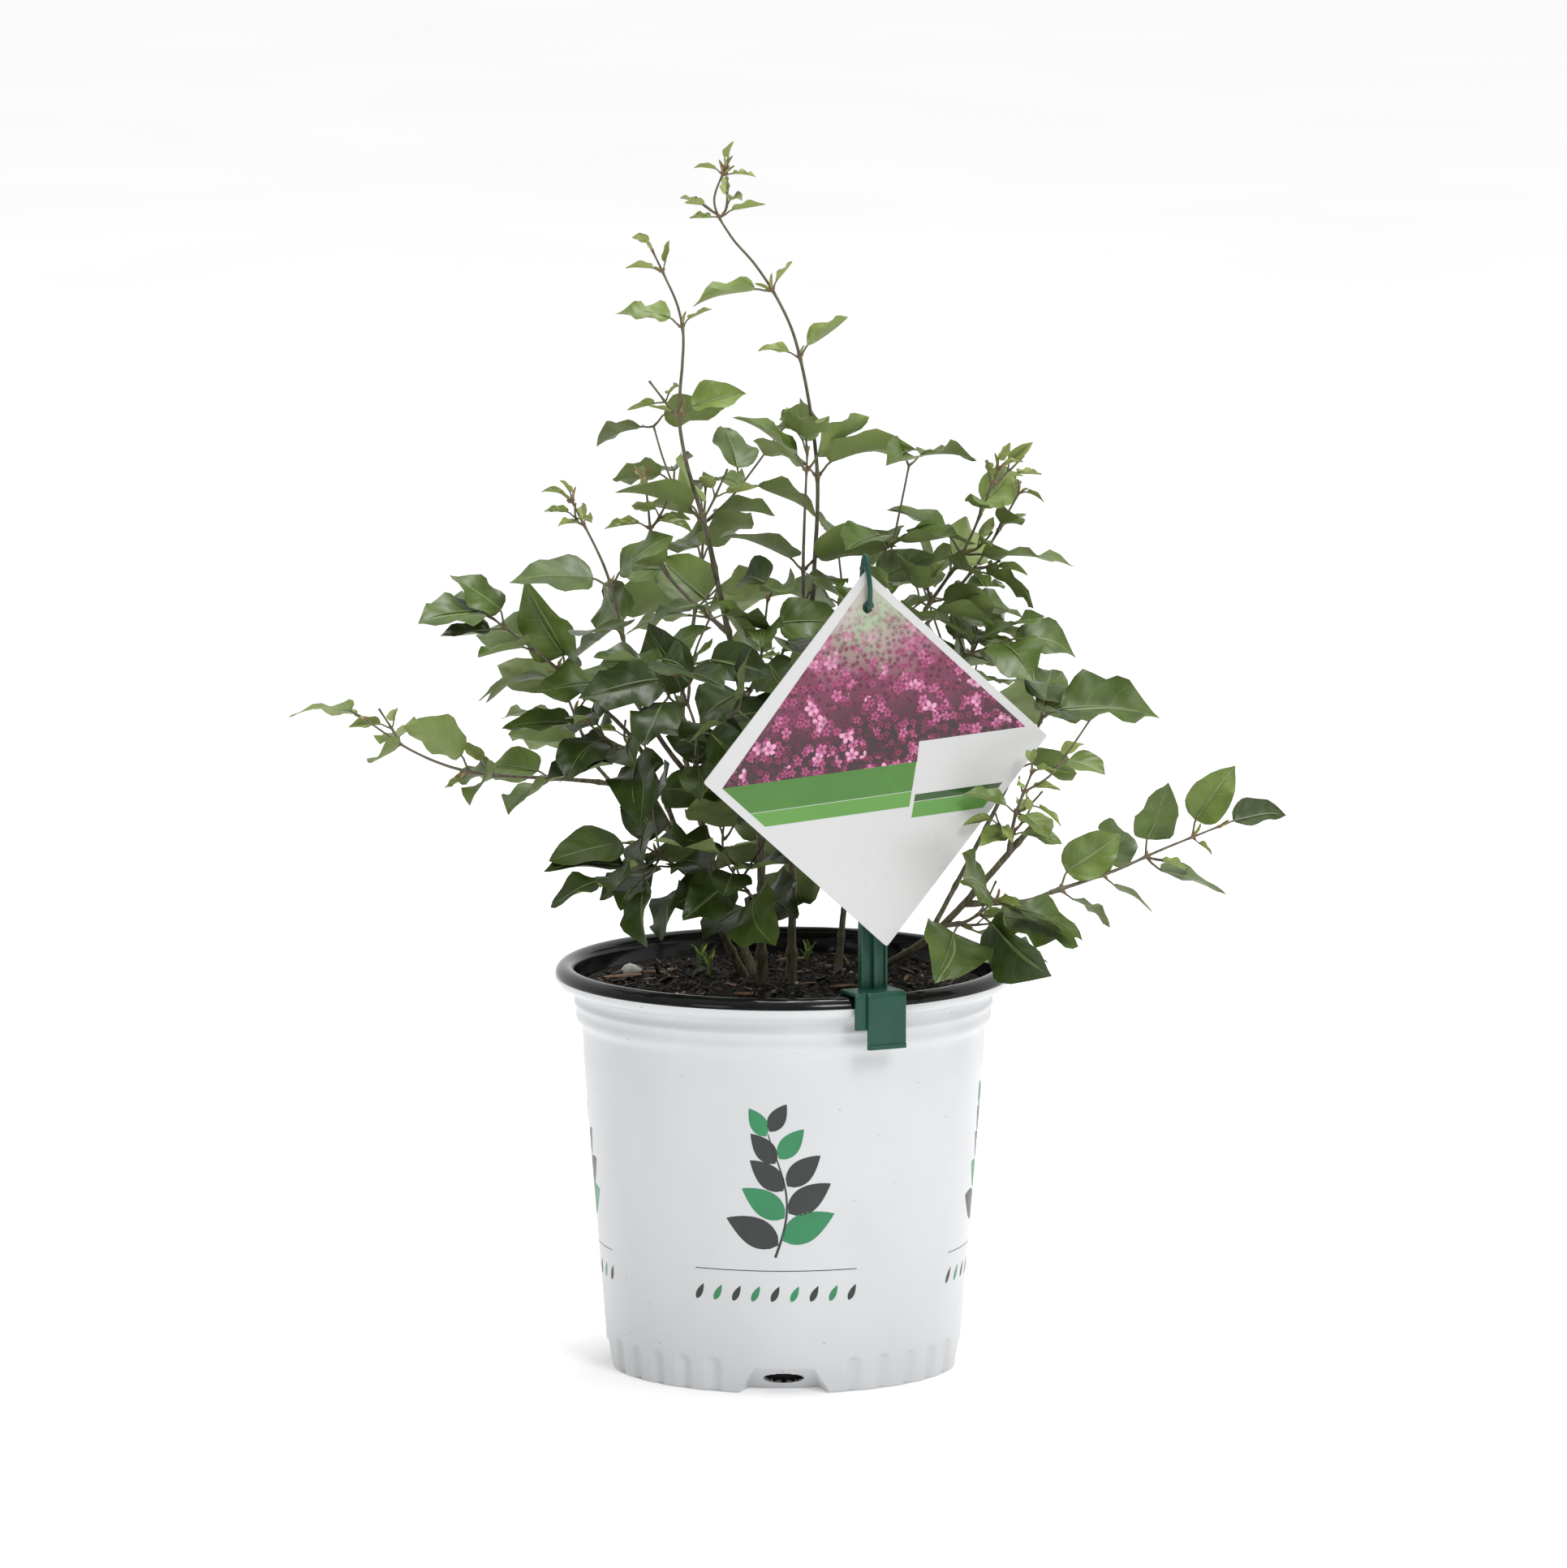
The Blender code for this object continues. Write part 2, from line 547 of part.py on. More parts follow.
def frames(points):
    """Direction, and two square directions, at each point, carried along without twisting."""
    along = np.gradient(points, axis=0)
    along /= np.linalg.norm(along, axis=1)[:, None]
    start = np.cross(along[0], (0.0, 1.0, 0.0))
    side = unit(start if np.linalg.norm(start) > 0.1 else np.cross(along[0], (1.0, 0.0, 0.0)))
    sides = []
    for direction in along:
        side = unit(side - direction * (side @ direction))
        sides.append(side)
    sides = np.array(sides)
    return along, sides, np.cross(along, sides)


def tube(points, radii, sides):
    """Corners and faces of a closed tube."""
    _, across, up = frames(points)
    angles = 2 * math.pi * np.arange(sides) / sides
    ring = np.cos(angles)[:, None, None] * across + np.sin(angles)[:, None, None] * up
    corners = points + ring * np.asarray(radii)[:, None]
    corners = corners.transpose(1, 0, 2).reshape(-1, 3)
    faces = [tuple(range(sides))[::-1]]
    for k in range(len(points) - 1):
        for a in range(sides):
            b = (a + 1) % sides
            faces.append((k * sides + a, k * sides + b, (k + 1) * sides + b, (k + 1) * sides + a))
    faces.append(tuple(range((len(points) - 1) * sides, len(points) * sides)))
    return corners, faces


class Limb:
    """A limb's centre line with its radius, which carries boughs, shoots and leaves."""

    def __init__(self, points, foot_radius, tip_radius):
        self.points = points
        share = np.linspace(0, 1, len(points))
        self.radii = foot_radius + (tip_radius - foot_radius) * share
        self.along, self.side, self.up = frames(points)

    def at(self, share):
        """Point, direction, side and up at a share of the length."""
        place = share * (len(self.points) - 1)
        k = min(int(place), len(self.points) - 2)
        t = place - k
        point, *directions = (
            rows[k] * (1 - t) + rows[k + 1] * t
            for rows in (self.points, self.along, self.side, self.up)
        )
        return point, *(unit(direction) for direction in directions)

    def radius(self, share):
        """Radius at a share of the length."""
        return float(np.interp(share, np.linspace(0, 1, len(self.radii)), self.radii))


def clear_of(limb, share, points, radius):
    """Cuts the start off a curve that begins on a carrying limb's centre line, so that its end
    ring stands one gap clear of the limb's surface, or of the flat tip if it grows on from there."""
    _, across, up = frames(points)
    angles = 2 * math.pi * np.arange(RING_TESTS) / RING_TESTS
    ring = np.cos(angles)[:, None, None] * across + np.sin(angles)[:, None, None] * up
    ring = points + radius * ring
    if share == 1.0:
        clear = ((ring - limb.points[-1]) @ limb.along[-1]).min(axis=0)
        return points[int(np.argmax(clear >= GAP)):]
    shares = np.linspace(0, 1, FINE)
    centres = np.array([limb.at(s)[0] for s in shares])
    radii = np.array([limb.radius(s) for s in shares])
    near = range(int(START_SHARE * len(points)))
    clear = [(np.linalg.norm(ring[:, k, None] - centres, axis=2) - radii).min() for k in near]
    blocked = [k for k in near if clear[k] < GAP]
    return points[blocked[-1] + 1:]


def branch(limb, share, through, foot_radius, tip_radius, steps):
    """A limb that starts one gap clear of another and runs through the given points."""
    start = limb.at(share)[0]
    fine = route([start, *through], FINE)
    fine = clear_of(limb, share, fine, foot_radius)
    keep = np.linspace(0, len(fine) - 1, steps + 1).round().astype(int)
    return Limb(fine[keep], foot_radius, tip_radius)


def leaf_solid(root, stalk, direction, face, length, width, arch, petiole, margin=0.0):
    """Corners and faces of one leaf: a straight three-sided stalk, then an arched blade.

    The blade's sections are a left edge, a right edge and a keel below. They lie on a curve that
    starts along its direction and bends away from its face: foot + d s - face arch s^2 / length.
    With a margin it is the blade alone, that much larger all round.
    """
    across = np.cross(direction, face)
    foot = root + stalk * petiole
    stations = LEAF_STATIONS if length > PLAIN_LEAF else PLAIN_LEAF_STATIONS
    rows = [(foot, PETIOLE_HALF)] if margin or length > SMALL_LEAF else []
    for share, half in stations:
        s = share * length
        rows.append((foot + direction * s - face * arch * s * s / length, half * width / 2))
    if not margin:
        rows.insert(0, (root, PETIOLE_HALF))
    corners = []
    for middle, half in rows:
        edge = across * (half + margin)
        corners += [
            middle - edge + face * margin,
            middle + edge + face * margin,
            middle - face * (LEAF_THICKNESS + margin),
        ]
    end = length + margin
    corners.append(foot + direction * end - face * arch * end)
    faces = [(0, 1, 2)]
    for k in range(len(rows) - 1):
        a, b = 3 * k, 3 * k + 3
        for i in range(3):
            j = (i + 1) % 3
            faces.append((a + j, a + i, b + i, b + j))
    last = 3 * (len(rows) - 1)
    faces += [(last + (i + 1) % 3, last + i, len(corners) - 1) for i in range(3)]
    return np.array(corners), faces


class Space:
    """The solids that are already placed, to test a new twig or leaf against."""

    def __init__(self):
        self.placed = []

    def measure(self, corners, faces):
        """Middle and reach of a solid, and a tree of its faces."""
        corners = np.asarray(corners)
        middle = (corners.min(0) + corners.max(0)) / 2
        reach = float(np.linalg.norm(corners - middle, axis=1).max())
        return middle, reach, BVHTree.FromPolygons([Vector(c) for c in corners], faces)

    def add(self, corners, faces, owner=None):
        self.placed.append((*self.measure(corners, faces), owner))

    def free(self, corners, faces, but_for=None):
        """Whether a solid's faces cross no placed solid, leaving out those of one owner."""
        middle, reach, tree = self.measure(corners, faces)
        for other_middle, other_reach, other, owner in self.placed:
            if but_for is not None and owner == but_for:
                continue
            if np.linalg.norm(middle - other_middle) < reach + other_reach and tree.overlap(other):
                return False
        return True


def turned_about(v, axis, angle):
    """v turned about a unit axis, right-handed."""
    return v * math.cos(angle) + np.cross(axis, v) * math.sin(angle) + axis * (axis @ v) * (1 - math.cos(angle))


class Foliage:
    """Grows one mass: a shoot with pairs of leaves, each pair turned a quarter from the last, and
    side twigs from some of the leaf axils. What would touch something is turned, then skipped."""

    def __init__(self, name, space, droop, seed):
        self.name = name
        self.space = space
        self.droop = droop
        self.random = np.random.default_rng(seed)
        self.solids = []

    def place(self, solid):
        """Keeps a solid of the mass, and adds it to the space that later growth keeps clear of."""
        self.solids.append(solid)
        self.space.add(*solid, self.name)

    def leaf(self, root, axis, side, length, lift):
        """One leaf: its stalk leaves the twig at a slant, and its blade turns level and outward."""
        random = self.random
        lift = math.radians(lift)
        droop = random.uniform(0.0, self.droop)
        width = length * random.uniform(*LEAF_WIDTHS)
        arch = random.uniform(*LEAF_ARCHES)
        lean = random.normal(0, LEAF_LEAN, 3)
        petiole = PETIOLE * min(1.0, SHORT_STALK + length / FULL_STALK_LEAF)
        outward = np.array((root[0], root[1], 0.0))
        outward /= max(np.linalg.norm(outward), AXIS_RADIUS)
        for extra in LEAF_TRIES:
            out = turned_about(side, axis, math.radians(extra))
            stalk = unit(out * math.cos(lift) + axis * math.sin(lift))
            level = np.array((stalk[0], stalk[1], 0.0)) + OUTWARD_PULL * outward
            fall = np.array((0, 0, droop))
            direction = unit(STALK_WEIGHT * stalk + LEVEL_WEIGHT * level + LEAN_WEIGHT * lean - fall)
            face = np.array((0, 0, FACE_UP)) + FACE_OUT * outward + lean
            face = unit(face - direction * (face @ direction))
            shape = (root, stalk, direction, face, length, width, arch, petiole)
            tested = route([root + stalk * GAP, root + stalk * (petiole + STALK_TEST)], 1)
            tested = tube(tested, [2 * PETIOLE_HALF + LEAF_CLEARANCE] * 2, TWIG_SIDES)
            if self.space.free(*leaf_solid(*shape, LEAF_CLEARANCE)) and self.space.free(*tested, self.name):
                self.place(leaf_solid(*shape))
                return

    def shoot(self, limb, nodes):
        """Pairs of leaves along a limb. Returns the axils as (share, side)."""
        axils = []
        for share, turn, lift, *blades in nodes:
            root, axis, side, up = limb.at(share)
            angle = math.radians(turn)
            out = side * math.cos(angle) + up * math.sin(angle)
            for sign, length in zip((1, -1), blades):
                self.leaf(root, axis, out * sign, length, lift)
                axils.append((share, out * sign))
        return axils

    def usual_nodes(self, pairs, first, turn, long, short):
        """Nodes that stand closer towards the tip, each turned a quarter, with smaller blades."""
        uniform = self.random.uniform
        nodes = []
        for k in range(pairs):
            part = k / max(pairs - 1, 1)
            share = first + (1 - first) * part**PAIR_SPACING
            size = long + (short - long) * part**BLADE_FALL
            nodes.append((
                share, turn + 90 * k + uniform(-TURN_SPREAD, TURN_SPREAD), uniform(*LIFTS),
                size * uniform(*BLADE_SPREAD), size * uniform(*BLADE_SPREAD),
            ))
        return nodes

    def twig(self, limb, share, side, length, pairs, leaf_length):
        """A side twig with its leaves, bent upwards. It is left out if it would touch something."""
        root, axis, _, _ = limb.at(share)
        direction = unit(side * TWIG_SIDEWAYS + axis * TWIG_FORWARD + np.array((0, 0, TWIG_UPWARD)))
        bend = self.random.normal(0, TWIG_BEND, 3) + np.array((0, 0, TWIG_CURL))
        tip = root + (direction + bend) * length
        points = route([root, root + direction * length * 0.5, tip], TWIG_STEPS)
        wide = np.full(len(points), TWIG_RADIUS + LEAF_CLEARANCE)
        if not self.space.free(*tube(points[1:], wide[1:], TWIG_SIDES)):
            return
        if not self.space.free(*tube(points, wide, TWIG_SIDES), self.name):
            return
        side_limb = Limb(points, TWIG_RADIUS, SHOOT_TIP_RADIUS)
        self.place(tube(side_limb.points, side_limb.radii, TWIG_SIDES))
        turn = self.random.uniform(0, 180)
        tip_length = leaf_length * TWIG_BLADE_TIP
        self.shoot(side_limb, self.usual_nodes(pairs, TWIG_FIRST, turn, leaf_length, tip_length))


def start_mass(name, plan, limbs, space, seed):
    """A mass with its shoot alone, so that every other mass keeps clear of it."""
    limb = limbs[plan["on"]]
    foot_radius = min(limb.radius(plan["at"]) * SHOOT_RADIUS_SHARE, SHOOT_FOOT_RADIUS)
    steps = 2 * len(plan["nodes"] or range(plan["pairs"]))
    main = branch(limb, plan["at"], plan["through"], foot_radius, SHOOT_TIP_RADIUS, steps)
    foliage = Foliage(name, space, plan["droop"], seed)
    foliage.place(tube(main.points, main.radii, TWIG_SIDES))
    return foliage, main


def fill_mass(foliage, main, plan):
    """Puts the leaves and the side twigs on a mass's shoot."""
    long, short = plan["blades"]
    usual = foliage.usual_nodes(plan["pairs"], plan["first"], plan["turn"], long, short)
    axils = foliage.shoot(main, plan["nodes"] or usual)
    for share, side in axils[:-2]:
        if foliage.random.random() < plan["twigs"]:
            length = plan["twig"] * foliage.random.uniform(*TWIG_SPREAD)
            foliage.twig(main, share, side, length, plan["twig_pairs"], long * TWIG_BLADE)


def fuse(name, solids, material):
    """One body from many: a Boolean union on a collection, applied, with scraps and hollows dropped."""
    parts = bpy.data.collections.new(name + "_parts")
    bpy.context.scene.collection.children.link(parts)
    body = mesh_object(name, *solids[0], material)
    face_outwards(body)
    for k, (corners, faces) in enumerate(solids[1:]):
        piece = mesh_object(f"{name}_{k}", corners, faces, material)
        face_outwards(piece)
        bpy.context.scene.collection.objects.unlink(piece)
        parts.objects.link(piece)
    union = body.modifiers.new("union", "BOOLEAN")
    union.operation = "UNION"
    union.operand_type = "COLLECTION"
    union.collection = parts
    union.solver = "MANIFOLD"
    graph = bpy.context.evaluated_depsgraph_get()
    fused = bpy.data.meshes.new_from_object(body.evaluated_get(graph))
    body.modifiers.clear()
    body.data = fused
    for piece in list(parts.objects):
        bpy.data.objects.remove(piece, do_unlink=True)
    bpy.data.collections.remove(parts)
    keep_largest(body)
    return body


def keep_largest(thing):
    """Drops every closed shell but the one with the most volume, which fills sealed hollows."""
    work = bmesh.new()
    work.from_mesh(thing.data)
    bmesh.ops.triangulate(work, faces=work.faces)
    unseen = set(work.faces)
    shells = []
    while unseen:
        stack = [unseen.pop()]
        shell = []
        while stack:
            face = stack.pop()
            shell.append(face)
            for edge in face.edges:
                for other in edge.link_faces:
                    if other in unseen:
                        unseen.remove(other)
                        stack.append(other)
        volume = sum(f.verts[0].co.dot(f.verts[1].co.cross(f.verts[2].co)) / 6 for f in shell)
        shells.append((volume, shell))
    shells.sort(key=lambda s: s[0])
    scrap = [face for _, shell in shells[:-1] for face in shell]
    bmesh.ops.delete(work, geom=scrap, context="FACES")
    work.to_mesh(thing.data)
    work.free()


def make_limbs():
    """Stems from the soil and the boughs that they carry."""
    limbs = {}
    for name, (foot, through, foot_radius, tip_radius) in STEMS.items():
        start = (*foot, SOIL_TOP + GAP)
        limb = Limb(route([start, *through], STEM_STEPS), foot_radius, tip_radius)
        height = limb.points[:, 2] - limb.points[0, 2]
        limb.radii *= 1 + (ROOT_FLARE - 1) * np.clip(1 - height / FLARE_LENGTH, 0, 1)
        limb.along[0] = (0, 0, 1)
        limbs[name] = limb
    for name, (carrier, share, through, foot_radius, tip_radius) in BOUGHS.items():
        limbs[name] = branch(limbs[carrier], share, through, foot_radius, tip_radius, BOUGH_STEPS)
    return limbs


def in_space(thing, space):
    """Adds an object's finished mesh to the space that foliage keeps clear of."""
    finished = thing.evaluated_get(bpy.context.evaluated_depsgraph_get())
    mesh = finished.to_mesh()
    corners = [finished.matrix_world @ v.co for v in mesh.vertices]
    faces = [tuple(p.vertices) for p in mesh.polygons]
    space.add(corners, faces)


def make_plant(space):
    """All limbs, then each mass's shoot, then each mass's leaves and twigs, fused into one body."""
    limbs = make_limbs()
    for name, limb in limbs.items():
        corners, faces = tube(limb.points, limb.radii, STEM_SIDES)
        if name in STEMS:
            corners[:STEM_SIDES, 2] = SOIL_TOP + GAP
        mesh_object(name, corners, faces, MATERIALS["bark"], smooth=True)
        space.add(corners, faces)
    plans = {name: {**USUAL, **plan} for name, plan in MASSES.items()}
    started = {
        name: start_mass(name, plan, limbs, space, seed)
        for seed, (name, plan) in enumerate(plans.items(), start=1)
    }
    for name, (foliage, main) in started.items():
        fill_mass(foliage, main, plans[name])
        fuse(name, foliage.solids, MATERIALS["leaf"])


def box(low, high):
    """Corners and faces of a box. In the label's own frame +X runs along the rim and -Y points out."""
    corners = []
    for z in (low[2], high[2]):
        for x, y in ((low[0], low[1]), (high[0], low[1]), (high[0], high[1]), (low[0], high[1])):
            corners.append((x, -y, z))
    faces = [(0, 3, 2, 1), (4, 5, 6, 7), (0, 1, 5, 4), (1, 2, 6, 5), (2, 3, 7, 6), (3, 0, 4, 7)]
    return np.array(corners), faces


def card_frame():
    """Middle, right, up and front of the card, which hangs a little askew."""
    right = np.array((math.cos(CARD_TURN), 0.0, math.sin(CARD_TURN)))
    rise = np.array((-math.sin(CARD_TURN), 0.0, math.cos(CARD_TURN)))
    return np.array((CARD_ASIDE, -CARD_DISTANCE, CARD_MIDDLE)), right, rise, OUT


def card_hole():
    """Middle of the hole near the card's upper corner, on its back face."""
    middle, _, rise, _ = card_frame()
    return middle + rise * (CARD_SIDE / math.sqrt(2) - HOLE_FROM_CORNER)


def make_card():
    """A thin square card on its corner, with a hole for the hook."""
    middle, right, rise, front = card_frame()
    half = CARD_SIDE / math.sqrt(2)
    outline = [rise * half, -right * half, -rise * half, right * half]
    corners = [middle + o + front * f for f in (0, CARD_THICKNESS) for o in outline]
    faces = [(0, 1, 2, 3), (7, 6, 5, 4)]
    faces += [(k, (k + 1) % 4, 4 + (k + 1) % 4, 4 + k) for k in range(4)]
    card = mesh_object("label_card", corners, faces, MATERIALS["card"])
    face_outwards(card)
    hole = card_hole()
    reach = front * PUNCH_REACH * CARD_THICKNESS
    punch_line = route([hole - reach, hole + reach], 1)
    punch = mesh_object("card_punch", *tube(punch_line, [HOLE_RADIUS] * 2, HOLE_SIDES), MATERIALS["card"])
    face_outwards(punch)
    cut(card, punch)
    return [card, punch]


def make_holder():
    """A saddle over the rim, a ribbed post behind the card and a hook through the card's hole."""
    half = SADDLE_WIDTH / 2
    left, right = -half - SADDLE_ASIDE, half - SADDLE_ASIDE
    inside = (COLLAR_RADIUS - WALL) * math.cos(math.pi / SEGMENTS)
    inner = math.sqrt(inside**2 - left**2) - 2 * GAP - PLATE_THICKNESS
    outer = BEAD_RADIUS + GAP
    over = POT_HEIGHT + GAP
    top = over + BRIDGE_THICKNESS
    plate, web, rib = PLATE_THICKNESS, POST_THICKNESS / 2, RIB_THICKNESS / 2
    post = inner + RIB_DEPTH / 2
    solids = [
        box((left, inner, over), (right, outer + plate, top)),
        box((left, inner, SOIL_TOP + LEG_ABOVE_SOIL), (right, inner + plate, over + plate / 2)),
        box((left, outer, over - SKIRT), (right, outer + plate, over + plate / 2)),
        box((-PLATE_WIDTH / 2, outer, PLATE_BOTTOM), (PLATE_WIDTH / 2, outer + 2 * plate, top)),
        box((-POST_WIDTH / 2, post - web, top - plate / 2), (POST_WIDTH / 2, post + web, WEB_TOP)),
        box((-rib, post - RIB_DEPTH / 2, top - plate / 2), (rib, post + RIB_DEPTH / 2, POST_TOP)),
    ]
    hole = card_hole()
    _, _, rise, front = card_frame()
    seat = hole + rise * (HOLE_RADIUS * math.cos(math.pi / HOLE_SIDES) - HOOK_RADIUS - GAP)
    wire = route([
        np.array((0.0, -post, POST_TOP - HOOK_ROOT)),
        hole + front * HOOK_BACK[0] + rise * HOOK_BACK[1],
        hole + front * HOOK_OVER[0] + rise * (HOLE_FROM_CORNER + HOOK_OVER[1]),
        hole + front * HOOK_FRONT[0] + rise * HOOK_FRONT[1],
        seat + front * HOOK_TIP,
    ], HOOK_STEPS)
    solids.append(tube(wire, np.full(len(wire), HOOK_RADIUS), STEM_SIDES))
    pin = route([seat + front * end for end in PIN_ENDS], 1)
    solids.append(tube(pin, [HOOK_RADIUS] * 2, STEM_SIDES))
    return [fuse("label_holder", solids, MATERIALS["holder"])]


def held_by(name, turn, things):
    """An empty on the pot's axis, turned about it, that carries the things."""
    carrier = bpy.data.objects.new(name, None)
    carrier.rotation_euler.z = turn
    bpy.context.scene.collection.objects.link(carrier)
    for thing in things:
        thing.parent = carrier


clear_scene()
MATERIALS = {
    "pot": painted("pot_white", WHITE, 0.35),
    "soil": painted("potting_mix", SOIL_BROWN, 0.95),
    "bark": painted("stem_bark", BARK, 0.8),
    "leaf": painted("leaf_green", LEAF_GREEN, 0.5),
    "holder": painted("holder_green", HOLDER_GREEN, 0.35),
    "card": painted("card_white", WHITE, 0.4),
}
plant_space = Space()
pot = make_pot()
soil = make_soil()
label = make_holder() + make_card()
held_by("label_clip", CLIP_BEARING, label)
for thing in (pot, soil, *label[:2]):
    in_space(thing, plant_space)
make_plant(plant_space)
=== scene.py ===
import math

import bpy
import numpy as np
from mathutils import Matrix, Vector
from mathutils.bvhtree import BVHTree


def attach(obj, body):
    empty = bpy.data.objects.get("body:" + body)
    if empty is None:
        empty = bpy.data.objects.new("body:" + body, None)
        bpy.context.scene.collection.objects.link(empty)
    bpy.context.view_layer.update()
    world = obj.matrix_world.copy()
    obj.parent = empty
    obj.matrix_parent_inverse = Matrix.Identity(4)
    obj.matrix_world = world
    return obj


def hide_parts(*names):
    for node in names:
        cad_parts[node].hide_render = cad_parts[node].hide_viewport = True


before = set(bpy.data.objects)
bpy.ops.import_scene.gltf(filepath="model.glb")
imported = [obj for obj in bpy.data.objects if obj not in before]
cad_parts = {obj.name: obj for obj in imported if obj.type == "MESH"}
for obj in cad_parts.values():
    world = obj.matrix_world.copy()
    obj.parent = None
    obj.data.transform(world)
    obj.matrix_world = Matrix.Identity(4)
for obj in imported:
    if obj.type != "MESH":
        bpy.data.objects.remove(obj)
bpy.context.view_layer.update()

# The studio: a pale floor that glows a little, a surround that is brighter behind the plant than in
# front, three wide soft lights, and the camera, which stands 6.5 m off and looks down on the pot by
# about nine degrees. None of it is part of the plant.
CAMERA_DISTANCE = 6.5
CAMERA_HEIGHT = 1.2937
CAMERA_PITCH = math.radians(8.714)
CAMERA_SENSOR = 36.0
CAMERA_LENS = 297.6
CAMERA_REACH = 60.0
WHITE = (1.0, 1.0, 1.0, 1.0)
FLOOR_HALF = 20.0
FLOOR_GLOW = 0.22
# Strength of the surround in front and behind, the way from one to the other, and how far along that
# way each lies
SURROUND = (0.28, 0.95)
SURROUND_WAY = (0.45, 0.80, 0.10)
SURROUND_SPAN = (-0.8, 0.2)
# Soft lights: place, width and power
SOFTBOXES = {
    "key_light": ((1.6, -3.2, 2.6), 1.3, 62.0),
    "top_light": ((0.2, 0.2, 3.0), 1.3, 62.0),
    "fill_light": ((-2.4, -3.2, 1.5), 1.5, 10.0),
}
LIGHTS_AIM = (0.0, 0.0, 0.3)
# What of a noise's range is spread over a mottled finish
MOTTLE_SPAN = (0.34, 0.66)

camera = bpy.data.objects.new("camera", bpy.data.cameras.new("camera"))
bpy.context.scene.collection.objects.link(camera)
camera.location = (0.0, -CAMERA_DISTANCE, CAMERA_HEIGHT)
camera.rotation_euler = (math.pi / 2 - CAMERA_PITCH, 0.0, 0.0)
camera.data.sensor_width = CAMERA_SENSOR
camera.data.lens = CAMERA_LENS
camera.data.clip_end = CAMERA_REACH
bpy.context.scene.camera = camera
bpy.context.scene.view_settings.view_transform = "Standard"

for name, (place, size, power) in SOFTBOXES.items():
    light = bpy.data.objects.new(name, bpy.data.lights.new(name, "AREA"))
    light.data.shape = "DISK"
    light.data.size = size
    light.data.energy = power
    light.location = place
    aim = np.subtract(LIGHTS_AIM, place)
    light.rotation_euler = (math.acos(-aim[2] / np.linalg.norm(aim)), 0.0, math.atan2(-aim[0], aim[1]))
    bpy.context.scene.collection.objects.link(light)


def node(tree, kind, sockets=(), **settings):
    """Adds a shader node to a tree and returns its outlets.

    sockets gives each input, by its name or number, a value or the outlet that feeds it.
    """
    made = tree.nodes.new("ShaderNode" + kind)
    for setting, value in settings.items():
        setattr(made, setting, value)
    for socket, value in dict(sockets).items():
        if isinstance(value, bpy.types.NodeSocket):
            tree.links.new(value, made.inputs[socket])
        else:
            made.inputs[socket].default_value = value
    return made.outputs


def spread(tree, value, span, over=(0.0, 1.0)):
    """A value whose span is spread over another, and held at that one's ends."""
    sockets = {"Value": value, "From Min": span[0], "From Max": span[1], "To Min": over[0], "To Max": over[1]}
    return node(tree, "MapRange", sockets)["Result"]


def node_group(name, takes, gives):
    """A node group that takes inputs of the given kinds and gives numbers, with nothing in it yet.

    Returns the group, the outlets of what it takes, and the inlets of what it gives.
    """
    group = bpy.data.node_groups.new(name, "ShaderNodeTree")
    for socket, kind in takes.items():
        group.interface.new_socket(socket, in_out="INPUT", socket_type="NodeSocket" + kind)
    for socket in gives:
        group.interface.new_socket(socket, in_out="OUTPUT", socket_type="NodeSocketFloat")
    return group, group.nodes.new("NodeGroupInput").outputs, group.nodes.new("NodeGroupOutput").inputs


def mottle_group():
    """Soft mottling on a position: a fractal noise, spread to a mask from 0 to 1 and a height."""
    takes = {"Vector": "Vector", "Scale": "Float", "Detail": "Float"}
    group, given, result = node_group("mottle", takes, ("Mask", "Height"))
    noise = node(group, "TexNoise", {socket: given[socket] for socket in takes})["Fac"]
    group.links.new(spread(group, noise, MOTTLE_SPAN), result["Mask"])
    group.links.new(noise, result["Height"])
    return group


MOTTLE = mottle_group()


def finish(name, dark, light, scale, roughness, relief=0.0, detail=4.0, stretch=(1, 1, 1), **gloss):
    """A Principled finish mottled between two colours and two roughnesses, with a fine relief.

    scale is in blotches per metre, stretch scales the position first, and relief is in metres.
    gloss sets the shader's other sockets.
    """
    material = bpy.data.materials.new(name)
    material.use_nodes = True
    tree = material.node_tree
    shader = tree.nodes["Principled BSDF"].inputs
    for socket, value in gloss.items():
        shader[socket.replace("_", " ")].default_value = value
    place = node(tree, "TexCoord")["Object"]
    place = node(tree, "Mapping", {"Vector": place, "Scale": stretch})["Vector"]
    mottle = node(tree, "Group", {"Vector": place, "Scale": scale, "Detail": detail}, node_tree=MOTTLE)
    blend = {0: mottle["Mask"], 6: (*dark, 1.0), 7: (*light, 1.0)}
    tree.links.new(node(tree, "Mix", blend, data_type="RGBA")[2], shader["Base Color"])
    tree.links.new(spread(tree, mottle["Mask"], (0.0, 1.0), roughness), shader["Roughness"])
    if relief:
        bump = node(tree, "Bump", {"Distance": relief, "Height": mottle["Height"]})
        tree.links.new(bump["Normal"], shader["Normal"])
    return material


def tint(material, mask, colour):
    """Lays one more colour over a finish's base colour, where the mask is 1."""
    tree = material.node_tree
    base = tree.nodes["Principled BSDF"].inputs["Base Color"]
    blend = {0: mask, 6: base.links[0].from_socket, 7: (*colour, 1.0)}
    tree.links.new(node(tree, "Mix", blend, data_type="RGBA")[2], base)


def specks(material, scale, reach, colour):
    """Small scattered spots: the core of each Voronoi cell, out to a share of its width."""
    tree = material.node_tree
    place = node(tree, "TexCoord")["Object"]
    cells = node(tree, "TexVoronoi", {"Vector": place, "Scale": scale})
    tint(material, spread(tree, cells["Distance"], (reach, reach * 0.6)), colour)


